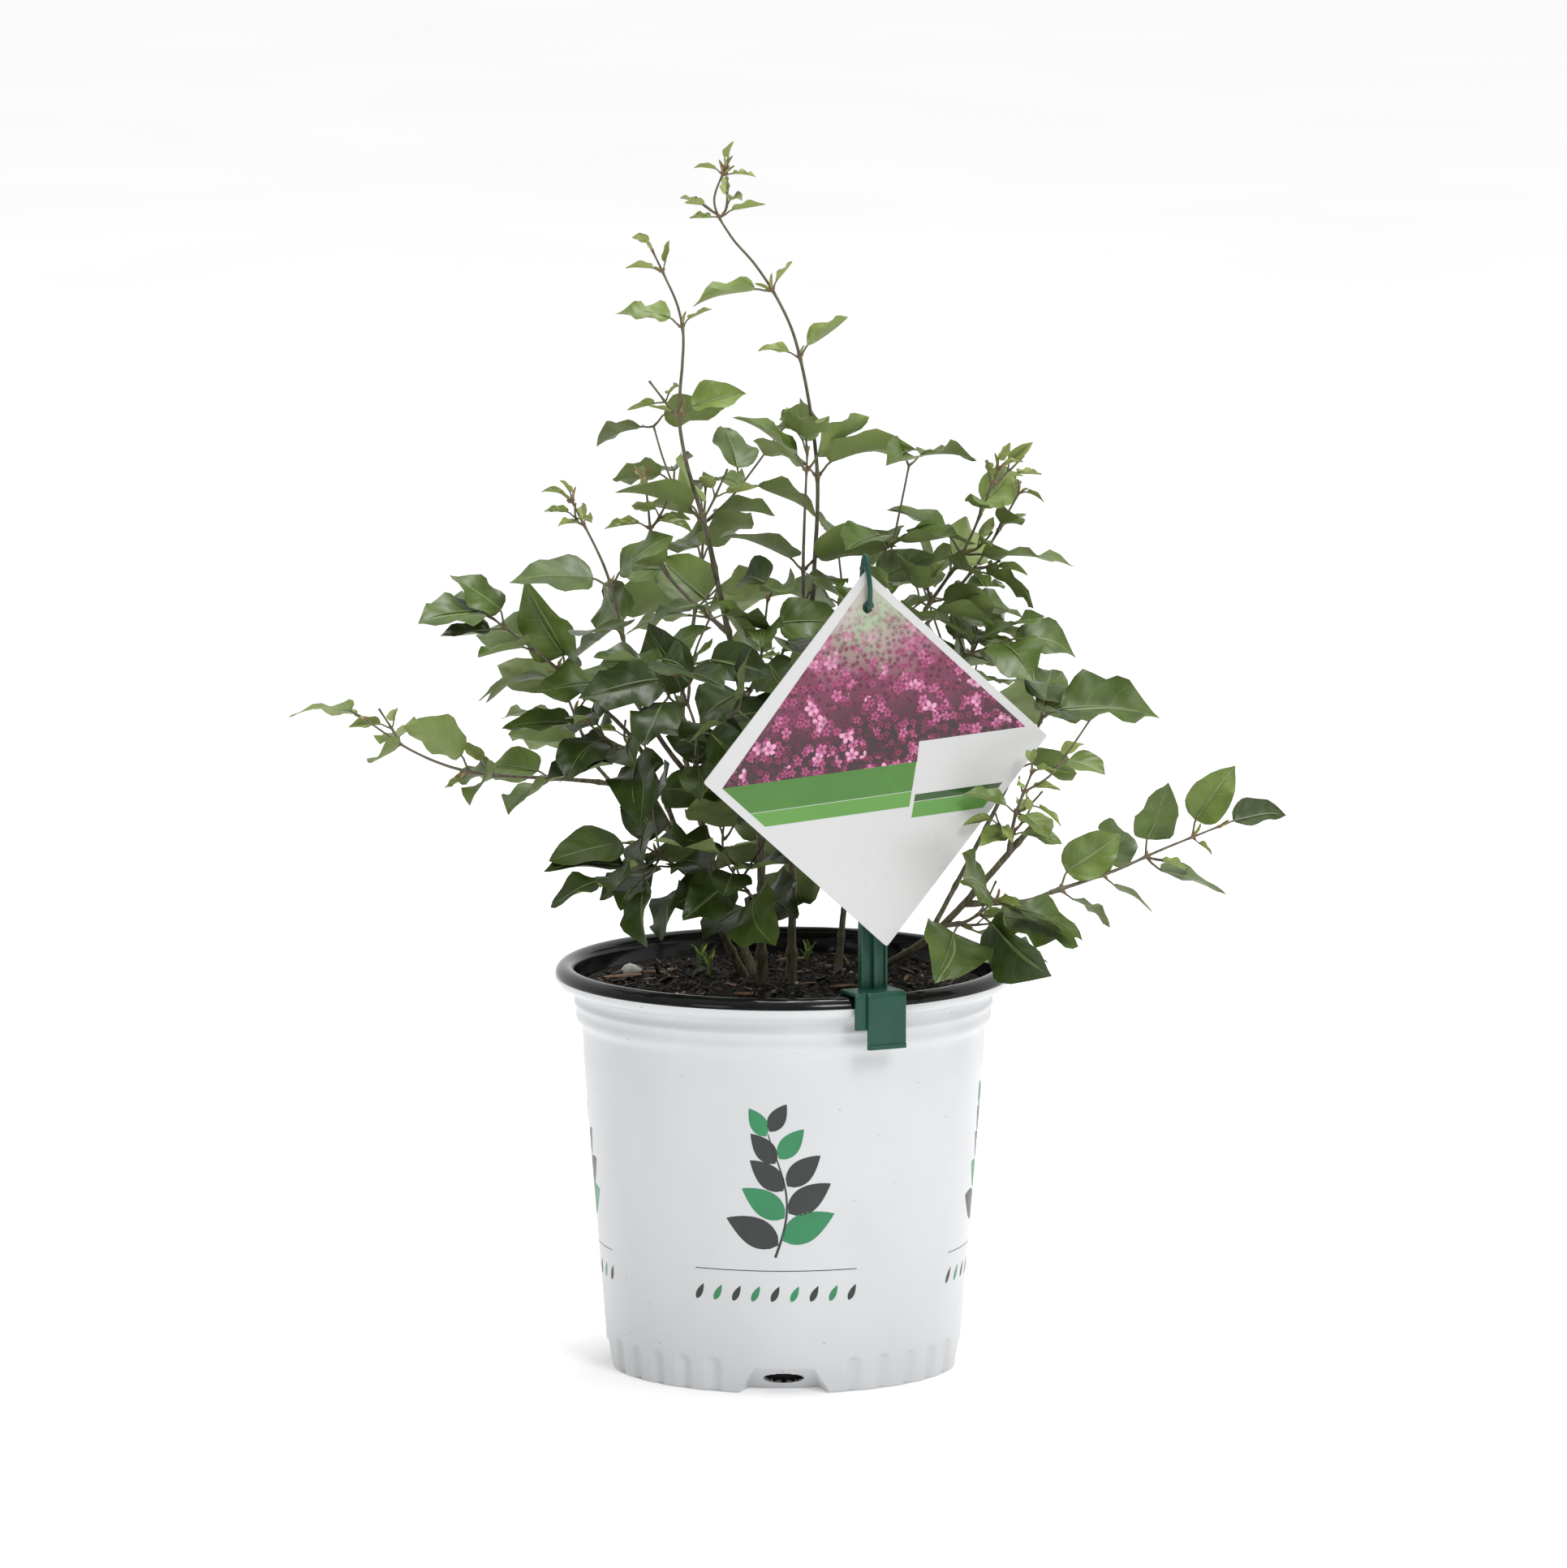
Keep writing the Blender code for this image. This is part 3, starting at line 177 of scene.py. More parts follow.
world = bpy.data.worlds.new("white_surround")
world.use_nodes = True
bpy.context.scene.world = world
surround = world.node_tree
heading = node(surround, "TexCoord")["Generated"]
along_way = node(surround, "VectorMath", {0: heading, 1: SURROUND_WAY}, operation="DOT_PRODUCT")["Value"]
background = surround.nodes["Background"].inputs
background["Color"].default_value = WHITE
surround.links.new(spread(surround, along_way, SURROUND_SPAN, SURROUND), background["Strength"])

floor_mesh = bpy.data.meshes.new("studio_floor")
floor_corners = [(x * FLOOR_HALF, y * FLOOR_HALF, 0.0) for x, y in ((-1, -1), (1, -1), (1, 1), (-1, 1))]
floor_mesh.from_pydata(floor_corners, [], [(0, 1, 2, 3)])
floor_mesh.materials.append(finish(
    "studio_white", (0.90, 0.90, 0.90), (0.93, 0.93, 0.93), 3.0, (0.9, 1.0),
    Emission_Color=WHITE, Emission_Strength=FLOOR_GLOW,
))
studio_floor = bpy.data.objects.new("studio_floor", floor_mesh)
bpy.context.scene.collection.objects.link(studio_floor)

# Pot: a two-gallon nursery pot, blow-moulded in two layers, white outside and black inside. The
# black layer shows on the upper half of the rolled rim. Its foot has four recesses with a drain
# hole each, with shallow flutes in between, and a leafy sprig is printed on it four times round.
POT_HEIGHT = 0.206
FOOT_RADIUS = 0.0893
COLLAR_FOOT = 0.158
COLLAR_FOOT_RADIUS = 0.1018
COLLAR_RADIUS = 0.1057
BEAD_RADIUS = 0.1163
BEAD_WIDTH = 0.0106
BEAD_HEIGHT = 0.0110
WALL = 0.0018
POT_FLOOR = 0.0030
NOTCHES = 4
NOTCH_HEIGHT = 0.0130
NOTCH_TOP_HALF = 0.0155
NOTCH_FOOT_HALF = 0.0225
NOTCH_DEPTH = 0.0150
NOTCH_SPAN = 0.30
DRAIN_HALF = 0.0108
DRAIN_HALF_HEIGHT = 0.0027
DRAIN_MIDDLE = 0.0068
DRAIN_DEPTH = 0.0060
FLUTES_BETWEEN = 5
FLUTE_PITCH = math.radians(10.9)
FLUTE_HALF = 0.0046
FLUTE_TOP = 0.0185
FLUTE_DEPTH = 0.0019
LINING_STEP = 0.026
FOOT_STEP = 0.00055
BEAD_TURNS = np.radians(np.linspace(-75, 180, 18))
# Collar and its two ridges: radius and height, going up
SHOULDER = (
    (0.1018, 0.1580), (0.1019, 0.1630), (0.1022, 0.1680), (0.1026, 0.1725), (0.1029, 0.1748),
    (0.1041, 0.1764), (0.1054, 0.1780), (0.1058, 0.1798), (0.1056, 0.1820), (0.1055, 0.1845),
    (0.1064, 0.1860), (0.1066, 0.1872), (0.1059, 0.1888), (0.1058, 0.1915), (0.1066, 0.1935),
)


def skin(rings, poles=None):
    """Corners, four-cornered and three-cornered faces of a closed skin over rings of corners.

    rings is rows x columns x 3. The skin is drawn together at a pole beyond each end, or with no
    poles its last row joins its first. It is turned over if the volume in it comes out negative.
    """
    rows, columns, _ = rings.shape
    corners = rings.reshape(-1, 3)
    lower = np.arange(rows if poles is None else rows - 1)[:, None] * columns
    upper = (lower + columns) % (rows * columns)
    a = np.arange(columns)
    b = np.roll(a, -1)
    quads = np.stack(np.broadcast_arrays(lower + a, lower + b, upper + b, upper + a), -1).reshape(-1, 4)
    triangles = np.zeros((0, 3), int)
    if poles is not None:
        corners = np.vstack([corners, poles])
        last = (rows - 1) * columns
        start = np.column_stack([b, a, np.full(columns, rows * columns)])
        end = np.column_stack([last + a, last + b, np.full(columns, rows * columns + 1)])
        triangles = np.vstack([start, end])
    p = corners - corners.mean(axis=0)
    halves = np.vstack([quads[:, (0, 1, 2)], quads[:, (0, 2, 3)], triangles])
    volume = np.einsum("ij,ij->", p[halves[:, 0]], np.cross(p[halves[:, 1]], p[halves[:, 2]]))
    if volume < 0:
        quads, triangles = quads[:, ::-1], triangles[:, ::-1]
    return corners, quads, triangles


class Batch:
    """Closed skins of one kind, gathered to become one piece."""

    def __init__(self):
        self.corners, self.places, self.quads, self.triangles = [], [], [], []
        self.quad_kinds, self.triangle_kinds = [], []
        self.count = 0

    def add(self, made, kinds=0, triangle_kinds=None, places=None):
        """Adds a skin. kinds are its faces' materials, and places its corners' places on the UV map."""
        corners, quads, triangles = made
        if triangle_kinds is None:
            triangle_kinds = kinds if np.ndim(kinds) == 0 else 0
        self.corners.append(corners)
        self.places.append(np.zeros((len(corners), 2)) if places is None else places)
        self.quads.append(quads + self.count)
        self.triangles.append(triangles + self.count)
        self.quad_kinds.append(np.broadcast_to(kinds, len(quads)))
        self.triangle_kinds.append(np.broadcast_to(triangle_kinds, len(triangles)))
        self.count += len(corners)

    def piece(self, name, materials, slot, replaced, sharp=50.0):
        """Makes the mesh, smooth but for edges sharper than an angle, and fixes it to the plant."""
        corners, quads, triangles = (np.vstack(part) for part in (self.corners, self.quads, self.triangles))
        loops = np.concatenate([quads.ravel(), triangles.ravel()])
        starts = np.concatenate([4 * np.arange(len(quads)), 4 * len(quads) + 3 * np.arange(len(triangles))])
        mesh = bpy.data.meshes.new(name)
        mesh.vertices.add(len(corners))
        mesh.vertices.foreach_set("co", corners.astype(np.float32).ravel())
        mesh.loops.add(len(loops))
        mesh.loops.foreach_set("vertex_index", loops.astype(np.int32))
        mesh.polygons.add(len(starts))
        mesh.polygons.foreach_set("loop_start", starts.astype(np.int32))
        kinds = np.concatenate(self.quad_kinds + self.triangle_kinds)
        mesh.polygons.foreach_set("material_index", kinds.astype(np.int32))
        mesh.update(calc_edges=True)
        chart = mesh.uv_layers.new(name="place")
        chart.data.foreach_set("uv", np.vstack(self.places)[loops].astype(np.float32).ravel())
        for material in materials:
            mesh.materials.append(material)
        mesh.shade_smooth()
        mesh.set_sharp_from_angle(angle=math.radians(sharp))
        made = bpy.data.objects.new(name, mesh)
        bpy.context.scene.collection.objects.link(made)
        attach(made, "root")
        if replaced:
            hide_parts(*replaced)
        return made


def ease(x):
    """0 below 0, 1 above 1, and a smooth cubic between."""
    x = np.clip(x, 0.0, 1.0)
    return x * x * (3 - 2 * x)


def wall_radius(height):
    """Radius of the pot's plain tapering wall at a height."""
    return FOOT_RADIUS + (COLLAR_FOOT_RADIUS - FOOT_RADIUS) * height / COLLAR_FOOT


def foot_hollow(bearing, height):
    """How far the foot is pressed in: sloping recesses, an oval hole in each, and scooped flutes.

    A recess is deepest at the ground, and its sides flare towards it. The flutes are cosine
    scoops with rounded tops.
    """
    quarter = 2 * math.pi / NOTCHES
    from_notch = (bearing + quarter / 2) % quarter - quarter / 2
    across = from_notch * FOOT_RADIUS
    rise = np.clip(height / NOTCH_HEIGHT, 0, 1)
    half = NOTCH_FOOT_HALF + (NOTCH_TOP_HALF - NOTCH_FOOT_HALF) * ease(rise * 0.9 + 0.1)
    inside = ease((half - np.abs(across)) / 0.0016 + 0.5)
    recess = NOTCH_DEPTH * (1 - rise) * inside
    oval = np.hypot(across / DRAIN_HALF, (height - DRAIN_MIDDLE) / DRAIN_HALF_HEIGHT)
    drain = DRAIN_DEPTH * ease((1.06 - oval) / 0.16)
    from_middle = np.abs((bearing % quarter) - quarter / 2)
    number = np.round(from_middle / FLUTE_PITCH)
    from_flute = (from_middle - number * FLUTE_PITCH) * FOOT_RADIUS / FLUTE_HALF
    reach = FLUTE_TOP - FLUTE_HALF * 0.9 * (1 - np.sqrt(np.clip(1 - from_flute**2, 0, 1)))
    scoop = np.where(np.abs(from_flute) < 1, 0.5 + 0.5 * np.cos(math.pi * from_flute), 0)
    scoop = FLUTE_DEPTH * scoop**0.6 * ease((reach - height) / 0.0025) * (number <= FLUTES_BETWEEN // 2)
    return recess + drain * inside, scoop, oval < 1.0


def bearings():
    """Bearings of the pot's columns, closer together at the recesses."""
    near = np.linspace(-NOTCH_SPAN, NOTCH_SPAN, 96, endpoint=False)
    far = np.linspace(NOTCH_SPAN, 2 * math.pi / NOTCHES - NOTCH_SPAN, 64, endpoint=False)
    one = np.concatenate([near, far])
    return np.concatenate([one + 2 * math.pi * k / NOTCHES for k in range(NOTCHES)])


def ring_points(radius, bearing, height):
    """Points at a radius and a bearing from the front, on the pot's axis."""
    return np.stack(np.broadcast_arrays(radius * np.sin(bearing), -radius * np.cos(bearing), height), -1)


def pot_rings():
    """The pot's skin: under the foot, up the wall and collar, over the bead and down the inside.

    Returns the rings and the number of the row above which the black layer shows.
    """
    turn = bearings()
    rows = []
    ground = FOOT_RADIUS - 0.0010 - foot_hollow(turn, 0.0)[0]
    for share in (0.05, 0.4, 0.75, 0.97, 1.0):
        rows.append((ground * share, 0.0))
    heights = np.concatenate([[0.0005], np.arange(0.0011, 0.0205, FOOT_STEP), [0.024, 0.030, 0.045]])
    heights = np.concatenate([heights, np.arange(0.06, COLLAR_FOOT, 0.016)])
    for height in heights:
        pressed, scooped, _ = foot_hollow(turn, height)
        rounding = 0.0010 * max(0.0, 1 - height / 0.0011) ** 2
        rows.append((wall_radius(height) - pressed - scooped - rounding, height))
    rows += SHOULDER
    middle = BEAD_RADIUS - BEAD_WIDTH / 2
    for angle in BEAD_TURNS:
        height = POT_HEIGHT + BEAD_HEIGHT / 2 * (math.sin(angle) - 1)
        rows.append((middle + BEAD_WIDTH / 2 * math.cos(angle), height))
        if angle <= 0:
            black_from = len(rows)
    for radius, height in SHOULDER[::-1]:
        rows.append((radius - WALL, height))
    for height in (0.12, 0.08, 0.045, 0.030, 0.024, 0.018, 0.012, 0.006, POT_FLOOR):
        pressed = foot_hollow(turn, height)[0] + (FLUTE_DEPTH if height < LINING_STEP else 0.0)
        rows.append((wall_radius(height) - pressed - WALL, height))
    floor_edge = rows[-1][0]
    for share in (0.6, 0.05):
        rows.append((floor_edge * share, POT_FLOOR))
    return np.array([ring_points(r, turn, h) for r, h in rows]), black_from, rows


pot_white = finish(
    "pot_white", (0.525, 0.535, 0.548), (0.553, 0.563, 0.576), 26.0, (0.30, 0.42), relief=0.00025, detail=2.0,
    stretch=(1, 1, 0.6), Specular_IOR_Level=0.45,
)
specks(pot_white, 95.0, 0.045, (0.16, 0.15, 0.14))
pot_black = finish(
    "pot_black", (0.004, 0.0045, 0.005), (0.008, 0.0085, 0.009), 60.0, (0.07, 0.13), relief=0.00004,
    stretch=(1, 1, 3), Specular_IOR_Level=0.26,
)
# Drain holes are oval dents coloured near black, since they do not open through the wall. The colour is
# partly the black lining and dark soil that a hole shows, and partly painted shade for the hole's depth.
drain_black_and_shade = finish("drain_black_and_shade", (0.006, 0.005, 0.004), (0.012, 0.010, 0.008), 200.0, (0.7, 0.9))

pot_body, black_row, pot_rows = pot_rings()
columns = pot_body.shape[1]
row_of = np.repeat(np.arange(len(pot_rows) - 1), columns)
column_of = np.tile(np.arange(columns), len(pot_rows) - 1)
middle_height = np.array([np.mean(h) for _, h in pot_rows])[row_of]
# Faces in the drain dents, which take the near-black painted shade.
in_drain = foot_hollow(bearings()[column_of], middle_height + FOOT_STEP / 2)[2]
in_drain &= (row_of < black_row) & (row_of > 4)
pot_kinds = np.where(row_of >= black_row - 1, 1, np.where(in_drain, 2, 0))
pot = Batch()
pot_poles = np.array(((0.0, 0.0, 0.0), (0.0, 0.0, POT_FLOOR)))
pot.add(skin(pot_body, pot_poles), pot_kinds, np.repeat((0, 1), columns))
pot.piece("pot_shell", (pot_white, pot_black, drain_black_and_shade), "pot", ("pot",), sharp=62.0)

# Print on the pot: a leafy sprig in dark and green ink over a thin ruled line and a row of small
# leaves, laid on the wall as a film of ink. It stands where such pots are printed, four times round.
PRINT_TURNS = 4
PRINT_BEARING = math.radians(-2.5)
INK = 0.00006
INK_ROOT = 0.0006
RULE_HEIGHT = 0.064
RULE_REACH = 0.042
RULE_HALF = 0.00022
SPRIG_FOOT = 0.071
SPRIG_TIP = 0.135
SPRIG_SWAY = 0.006
SPRIG_WAVE = math.pi * 1.2
SPRIG_HALF = (0.0007, 0.0003)
SPRIG_PAIRS = 5
# Places of the lowest pair and the highest. Length of a leaf at the sprig's foot and at its tip, and
# its lean from upright in degrees
PAIR_PLACES = (0.12, 1.0)
PAIR_LENGTHS = (0.033, 0.01815)
PAIR_LEANS = (62.0, 28.0)
PAIR_DROOP = 0.10
PAIR_STAGGER = 0.0012
PAIR_HALF = 0.24
ROW_HEIGHT = 0.052
ROW_LEAVES = 9
ROW_REACH = 0.94 * RULE_REACH
ROW_LEAF = (0.004, 0.008)
ROW_HALF = 0.0016
LEAF_END_HALF = 0.00008


def ribbon_on_pot(along, height, half_width, bearing):
    """A closed ribbon of ink on the tapering wall.

    Its centre line is given as distances round the wall and heights, and its edges stand off it
    by the half widths. Seven corners across its face follow the wall, and two lie under the skin.
    """
    line = np.stack(np.broadcast_arrays(along, height), -1)
    run = np.gradient(line, axis=0)
    run /= np.linalg.norm(run, axis=1)[:, None]
    edge = np.column_stack([-run[:, 1], run[:, 0]]) * np.reshape(half_width, (-1, 1))
    across = np.concatenate([np.linspace(-1, 1, 7), [1, -1]])
    lift = np.concatenate([np.full(7, INK), np.full(2, -INK_ROOT)])
    flat = line[:, None] + edge[:, None] * across[None, :, None]
    radius = wall_radius(flat[..., 1])
    rings = ring_points(radius + lift, bearing + flat[..., 0] / radius, flat[..., 1])
    return skin(rings, np.array((rings[0].mean(axis=0), rings[-1].mean(axis=0))))


def printed_leaf_half(share, half):
    """Half width of a printed leaf: a sine of the share along, drawn towards the leaf's foot."""
    return half * np.sin(math.pi * share**0.75) ** 0.9 + LEAF_END_HALF


def sprig_sway(share):
    """How far the sprig's stem stands aside at a share of its height: part of a sine."""
    return SPRIG_SWAY * np.sin(share * SPRIG_WAVE)


def sprig_rise(share):
    """Height of a share of the sprig on the pot."""
    return SPRIG_FOOT + (SPRIG_TIP - SPRIG_FOOT) * share


pot_print = Batch()
leaf_share = np.linspace(0, 1, 13)
stem_share = np.linspace(0, 1, 17)
stem_half = SPRIG_HALF[0] + (SPRIG_HALF[1] - SPRIG_HALF[0]) * stem_share
rule = np.linspace(-RULE_REACH, RULE_REACH, 41)
for turn in range(PRINT_TURNS):
    bearing = PRINT_BEARING + 2 * math.pi * turn / PRINT_TURNS
    pot_print.add(ribbon_on_pot(rule, RULE_HEIGHT, RULE_HALF, bearing), 0)
    pot_print.add(ribbon_on_pot(sprig_sway(stem_share), sprig_rise(stem_share), stem_half, bearing), 0)
    for pair in range(SPRIG_PAIRS):
        at = PAIR_PLACES[0] + (PAIR_PLACES[1] - PAIR_PLACES[0]) * pair / (SPRIG_PAIRS - 1)
        length = PAIR_LENGTHS[0] + (PAIR_LENGTHS[1] - PAIR_LENGTHS[0]) * at
        lean = math.radians(PAIR_LEANS[0] + (PAIR_LEANS[1] - PAIR_LEANS[0]) * at)
        droop = PAIR_DROOP * length * leaf_share**2
        half = printed_leaf_half(leaf_share, PAIR_HALF * length)
        for side in (-1, 1):
            leaf_x = sprig_sway(at) + side * (math.sin(lean) * length * leaf_share + 0.001)
            leaf_z = sprig_rise(at) + math.cos(lean) * length * leaf_share - droop + PAIR_STAGGER * side
            pot_print.add(ribbon_on_pot(leaf_x, leaf_z, half, bearing), int((pair + (side > 0)) % 3 == 1))
    for k, aside in enumerate(np.linspace(-ROW_REACH, ROW_REACH, ROW_LEAVES)):
        leaf_x, leaf_z = (size * (leaf_share - 0.5) for size in ROW_LEAF)
        half = printed_leaf_half(leaf_share, ROW_HALF)
        pot_print.add(ribbon_on_pot(aside + leaf_x, ROW_HEIGHT + leaf_z, half, bearing), k % 2)
dark_ink = finish("dark_ink", (0.012, 0.014, 0.014), (0.022, 0.024, 0.024), 90.0, (0.35, 0.5))
green_ink = finish("green_ink", (0.012, 0.17, 0.062), (0.018, 0.21, 0.080), 60.0, (0.35, 0.5))
pot_print.piece("pot_print", (dark_ink, green_ink), "pot", ())

# Potting mix: damp peat that fills the pot to just under its rim. Flakes of bark, crumbs of peat and
# fibre, specks of pale grit and one pale stone lie on it.
SOIL_TOP = 0.194
SOIL_EDGE = COLLAR_RADIUS - WALL - 0.0008
SOIL_INSIDE = WALL + 0.0006
SOIL_FOOT = 0.0040
# Inside of the pot: heights, and the wall's radii there
INSIDE_HEIGHTS = (0.0, COLLAR_FOOT, 0.172, 0.180, 0.210)
INSIDE_RADII = (FOOT_RADIUS, COLLAR_FOOT_RADIUS, 0.1027, 0.1055, 0.1056)
SOIL_DIP = 0.0012
SOIL_BANK = 0.0015
# Unevenness: lengths and heights of its waves, and what their sum is scaled by
LUMP_WAVES = ((0.034, 0.9), (0.021, 0.6), (0.012, 0.55), (0.007, 0.55), (0.0042, 0.45), (0.003, 0.35))
LUMP_SCALE = 0.0019 / 4.2
WAVES_OF_EACH = 5
# Flakes of bark: the large ones as x, y, length, width and turn, and the lengths of the others
BIG_CHIPS = (
    (-0.082, 0.020, 0.019, 0.006, 0.1), (-0.066, 0.034, 0.014, 0.005, -0.5),
    (0.004, 0.062, 0.015, 0.006, 0.2), (0.030, -0.012, 0.012, 0.004, 0.0),
    (0.052, 0.050, 0.010, 0.004, 0.6), (-0.020, -0.040, 0.011, 0.004, -0.3),
)
BIG_CHIP_THICKNESS = 0.0022
CHIPS = 360
CHIP_LENGTHS = (0.0022, 0.0107)
PALE_CHIPS = 0.20
STONE = (-0.0785, 0.038, 0.0060, 0.80)
GRIT = 110
GRIT_SIZES = (0.0005, 0.0014)
PALE_GRIT = 0.35
CRUMBS = 1100
CRUMB_SIZES = (0.0007, 0.0021)
FIBRE_CRUMBS = 0.25
CLEAR_OF_WALL = 0.006
soil_random = np.random.default_rng(7)


def lumps(x, y):
    """Height of the soil over its mean: sums of waves whose directions and lengths are scattered."""
    waves = np.random.default_rng(3)
    total = np.zeros(np.broadcast(x, y).shape)
    for length, height in LUMP_WAVES:
        for _ in range(WAVES_OF_EACH):
            angle, phase = waves.uniform(0, 2 * math.pi, 2)
            way = x * math.cos(angle) + y * math.sin(angle)
            total = total + height * np.sin(way * 2 * math.pi / length + phase)
    return total * LUMP_SCALE


def soil_level(x, y):
    """Level of the soil's surface, which rises a little at the wall with the fourth power."""
    share = np.hypot(x, y) / SOIL_EDGE
    calm = ease((1 - share) * SOIL_EDGE / 0.01)
    return SOIL_TOP - SOIL_DIP + lumps(x, y) * calm + SOIL_BANK * share**4


turn = bearings()[::2]
foot = wall_radius(POT_FLOOR) - foot_hollow(turn, POT_FLOOR)[0] - FLUTE_DEPTH - SOIL_INSIDE
soil_rows = [ring_points(foot * share, turn, SOIL_FOOT) for share in (0.05, 0.5, 1.0)]
for height in (0.006, 0.012, 0.018, 0.024, 0.045, 0.09, 0.13, COLLAR_FOOT, 0.168, 0.180, 0.190):
    edge = np.interp(height, INSIDE_HEIGHTS, INSIDE_RADII) - foot_hollow(turn, height)[0]
    edge = edge - (FLUTE_DEPTH if height < LINING_STEP else 0.0)
    soil_rows.append(ring_points(edge - SOIL_INSIDE, turn, height))
for radius in np.linspace(SOIL_EDGE, 0.0008, 120):
    flat = ring_points(radius, turn, 0.0)
    flat[:, 2] = soil_level(flat[:, 0], flat[:, 1])
    soil_rows.append(flat)
soil = Batch()
soil.add(skin(np.array(soil_rows), np.array(((0, 0, SOIL_FOOT), (0, 0, float(soil_level(0.0, 0.0)))))))
peat = finish(
    "damp_peat", (0.001, 0.0008, 0.0006), (0.013, 0.008, 0.005), 420.0, (0.40, 0.95), relief=0.0030,
    detail=6.0, Specular_IOR_Level=0.22,
)
soil.piece("potting_mix", (peat,), "soil", ("soil",), sharp=75.0)


def flake(x, y, length, width, thickness, turn, tip, lift, random):
    """A flake of bark: four crooked six-cornered rings along it, drawn in at both ends, on the soil."""
    share = np.linspace(-1, 1, 4)
    angle = np.linspace(0, 2 * math.pi, 6, endpoint=False) + 0.3
    swell = (1 - 0.45 * np.abs(share)) * random.uniform(0.75, 1.1, 4)
    along = share[:, None] * length / 2 + random.normal(0, 0.05 * length, (4, 6))
    across = np.cos(angle) * width / 2 * swell[:, None]
    up = np.sin(angle) * thickness / 2 * swell[:, None] + random.normal(0, 0.05 * thickness, (4, 6))
    up = up + along * math.tan(tip)
    px = x + along * math.cos(turn) - across * math.sin(turn)
    py = y + along * math.sin(turn) + across * math.cos(turn)
    rings = np.stack([px, py, soil_level(x, y) + lift + up], -1)
    ends = np.array((rings[0].mean(axis=0), rings[-1].mean(axis=0)))
    return skin(rings, ends)


def pebble(x, y, size, flat, random):
    """A rounded grain: an egg with low bumps, half sunk in the soil, and flat times as high as wide."""
    tilt = np.radians(np.array((-60, -20, 20, 60)))[:, None]
    angle = np.linspace(0, 2 * math.pi, 8, endpoint=False)
    bump = random.uniform(0.86, 1.12, (4, 8))
    rings = np.stack([
        x + size * bump * np.cos(tilt) * np.cos(angle),
        y + size * 0.8 * bump * np.cos(tilt) * np.sin(angle),
        soil_level(x, y) + size * flat * (0.3 + bump * np.sin(tilt)) + 0 * angle,
    ], -1)
    base = soil_level(x, y)
    return skin(rings, np.array(((x, y, base - 0.7 * size * flat), (x, y, base + 1.3 * size * flat))))


def scattered(count, random):
    """Places on the soil, even over its area, clear of the wall."""
    radius = (SOIL_EDGE - CLEAR_OF_WALL) * np.sqrt(random.uniform(0, 1, count))
    angle = random.uniform(0, 2 * math.pi, count)
    return np.column_stack([radius * np.cos(angle), radius * np.sin(angle)])


chips = Batch()
for x, y, length, width, turn in BIG_CHIPS:
    chips.add(flake(x, y, length, width, BIG_CHIP_THICKNESS, turn, 0.06, 0.0016, soil_random), 1)
for x, y in scattered(CHIPS, soil_random):
    length = CHIP_LENGTHS[0] + (CHIP_LENGTHS[1] - CHIP_LENGTHS[0]) * soil_random.random() ** 2.2
    shape = (length, length * soil_random.uniform(0.3, 0.6), length * 0.2)
    turn, tip = soil_random.uniform(0, math.pi), soil_random.normal(0, 0.4)
    made = flake(x, y, *shape, turn, tip, 0.0006, soil_random)
    chips.add(made, int(soil_random.random() < PALE_CHIPS))
dark_bark = finish(
    "wet_bark", (0.005, 0.0035, 0.003), (0.030, 0.018, 0.012), 500.0, (0.5, 0.8), relief=0.0005,
)
pale_bark = finish(
    "dry_bark", (0.085, 0.045, 0.026), (0.26, 0.15, 0.09), 380.0, (0.7, 0.9), relief=0.0005,
)
chips.piece("bark_flakes", (dark_bark, pale_bark), "soil", (), sharp=40.0)

grit = Batch()
grit.add(pebble(*STONE, soil_random), 1)
for x, y in scattered(GRIT, soil_random):
    made = pebble(x, y, soil_random.uniform(*GRIT_SIZES), 0.8, soil_random)
    grit.add(made, int(soil_random.random() < PALE_GRIT))
grit_brown = finish("tan_grit", (0.16, 0.10, 0.06), (0.32, 0.24, 0.16), 500.0, (0.6, 0.9))
grit_pale = finish("pale_grit", (0.38, 0.37, 0.34), (0.58, 0.57, 0.54), 300.0, (0.7, 0.9), relief=0.0006)
grit.piece("grit", (grit_brown, grit_pale), "soil", (), sharp=70.0)

crumbs = Batch()
for x, y in scattered(CRUMBS, soil_random):
    size = CRUMB_SIZES[0] + (CRUMB_SIZES[1] - CRUMB_SIZES[0]) * soil_random.random() ** 2
    made = pebble(x, y, size, 0.9, soil_random)
    crumbs.add(made, int(soil_random.random() < FIBRE_CRUMBS))
peat_crumb = finish(
    "peat_crumb", (0.003, 0.002, 0.0015), (0.016, 0.010, 0.006), 700.0, (0.5, 0.9), relief=0.0006,
)
fibre_crumb = finish(
    "fibre_crumb", (0.020, 0.012, 0.008), (0.060, 0.036, 0.022), 700.0, (0.6, 0.9), relief=0.0006,
)
crumbs.piece("peat_crumbs", (peat_crumb, fibre_crumb), "soil", (), sharp=70.0)

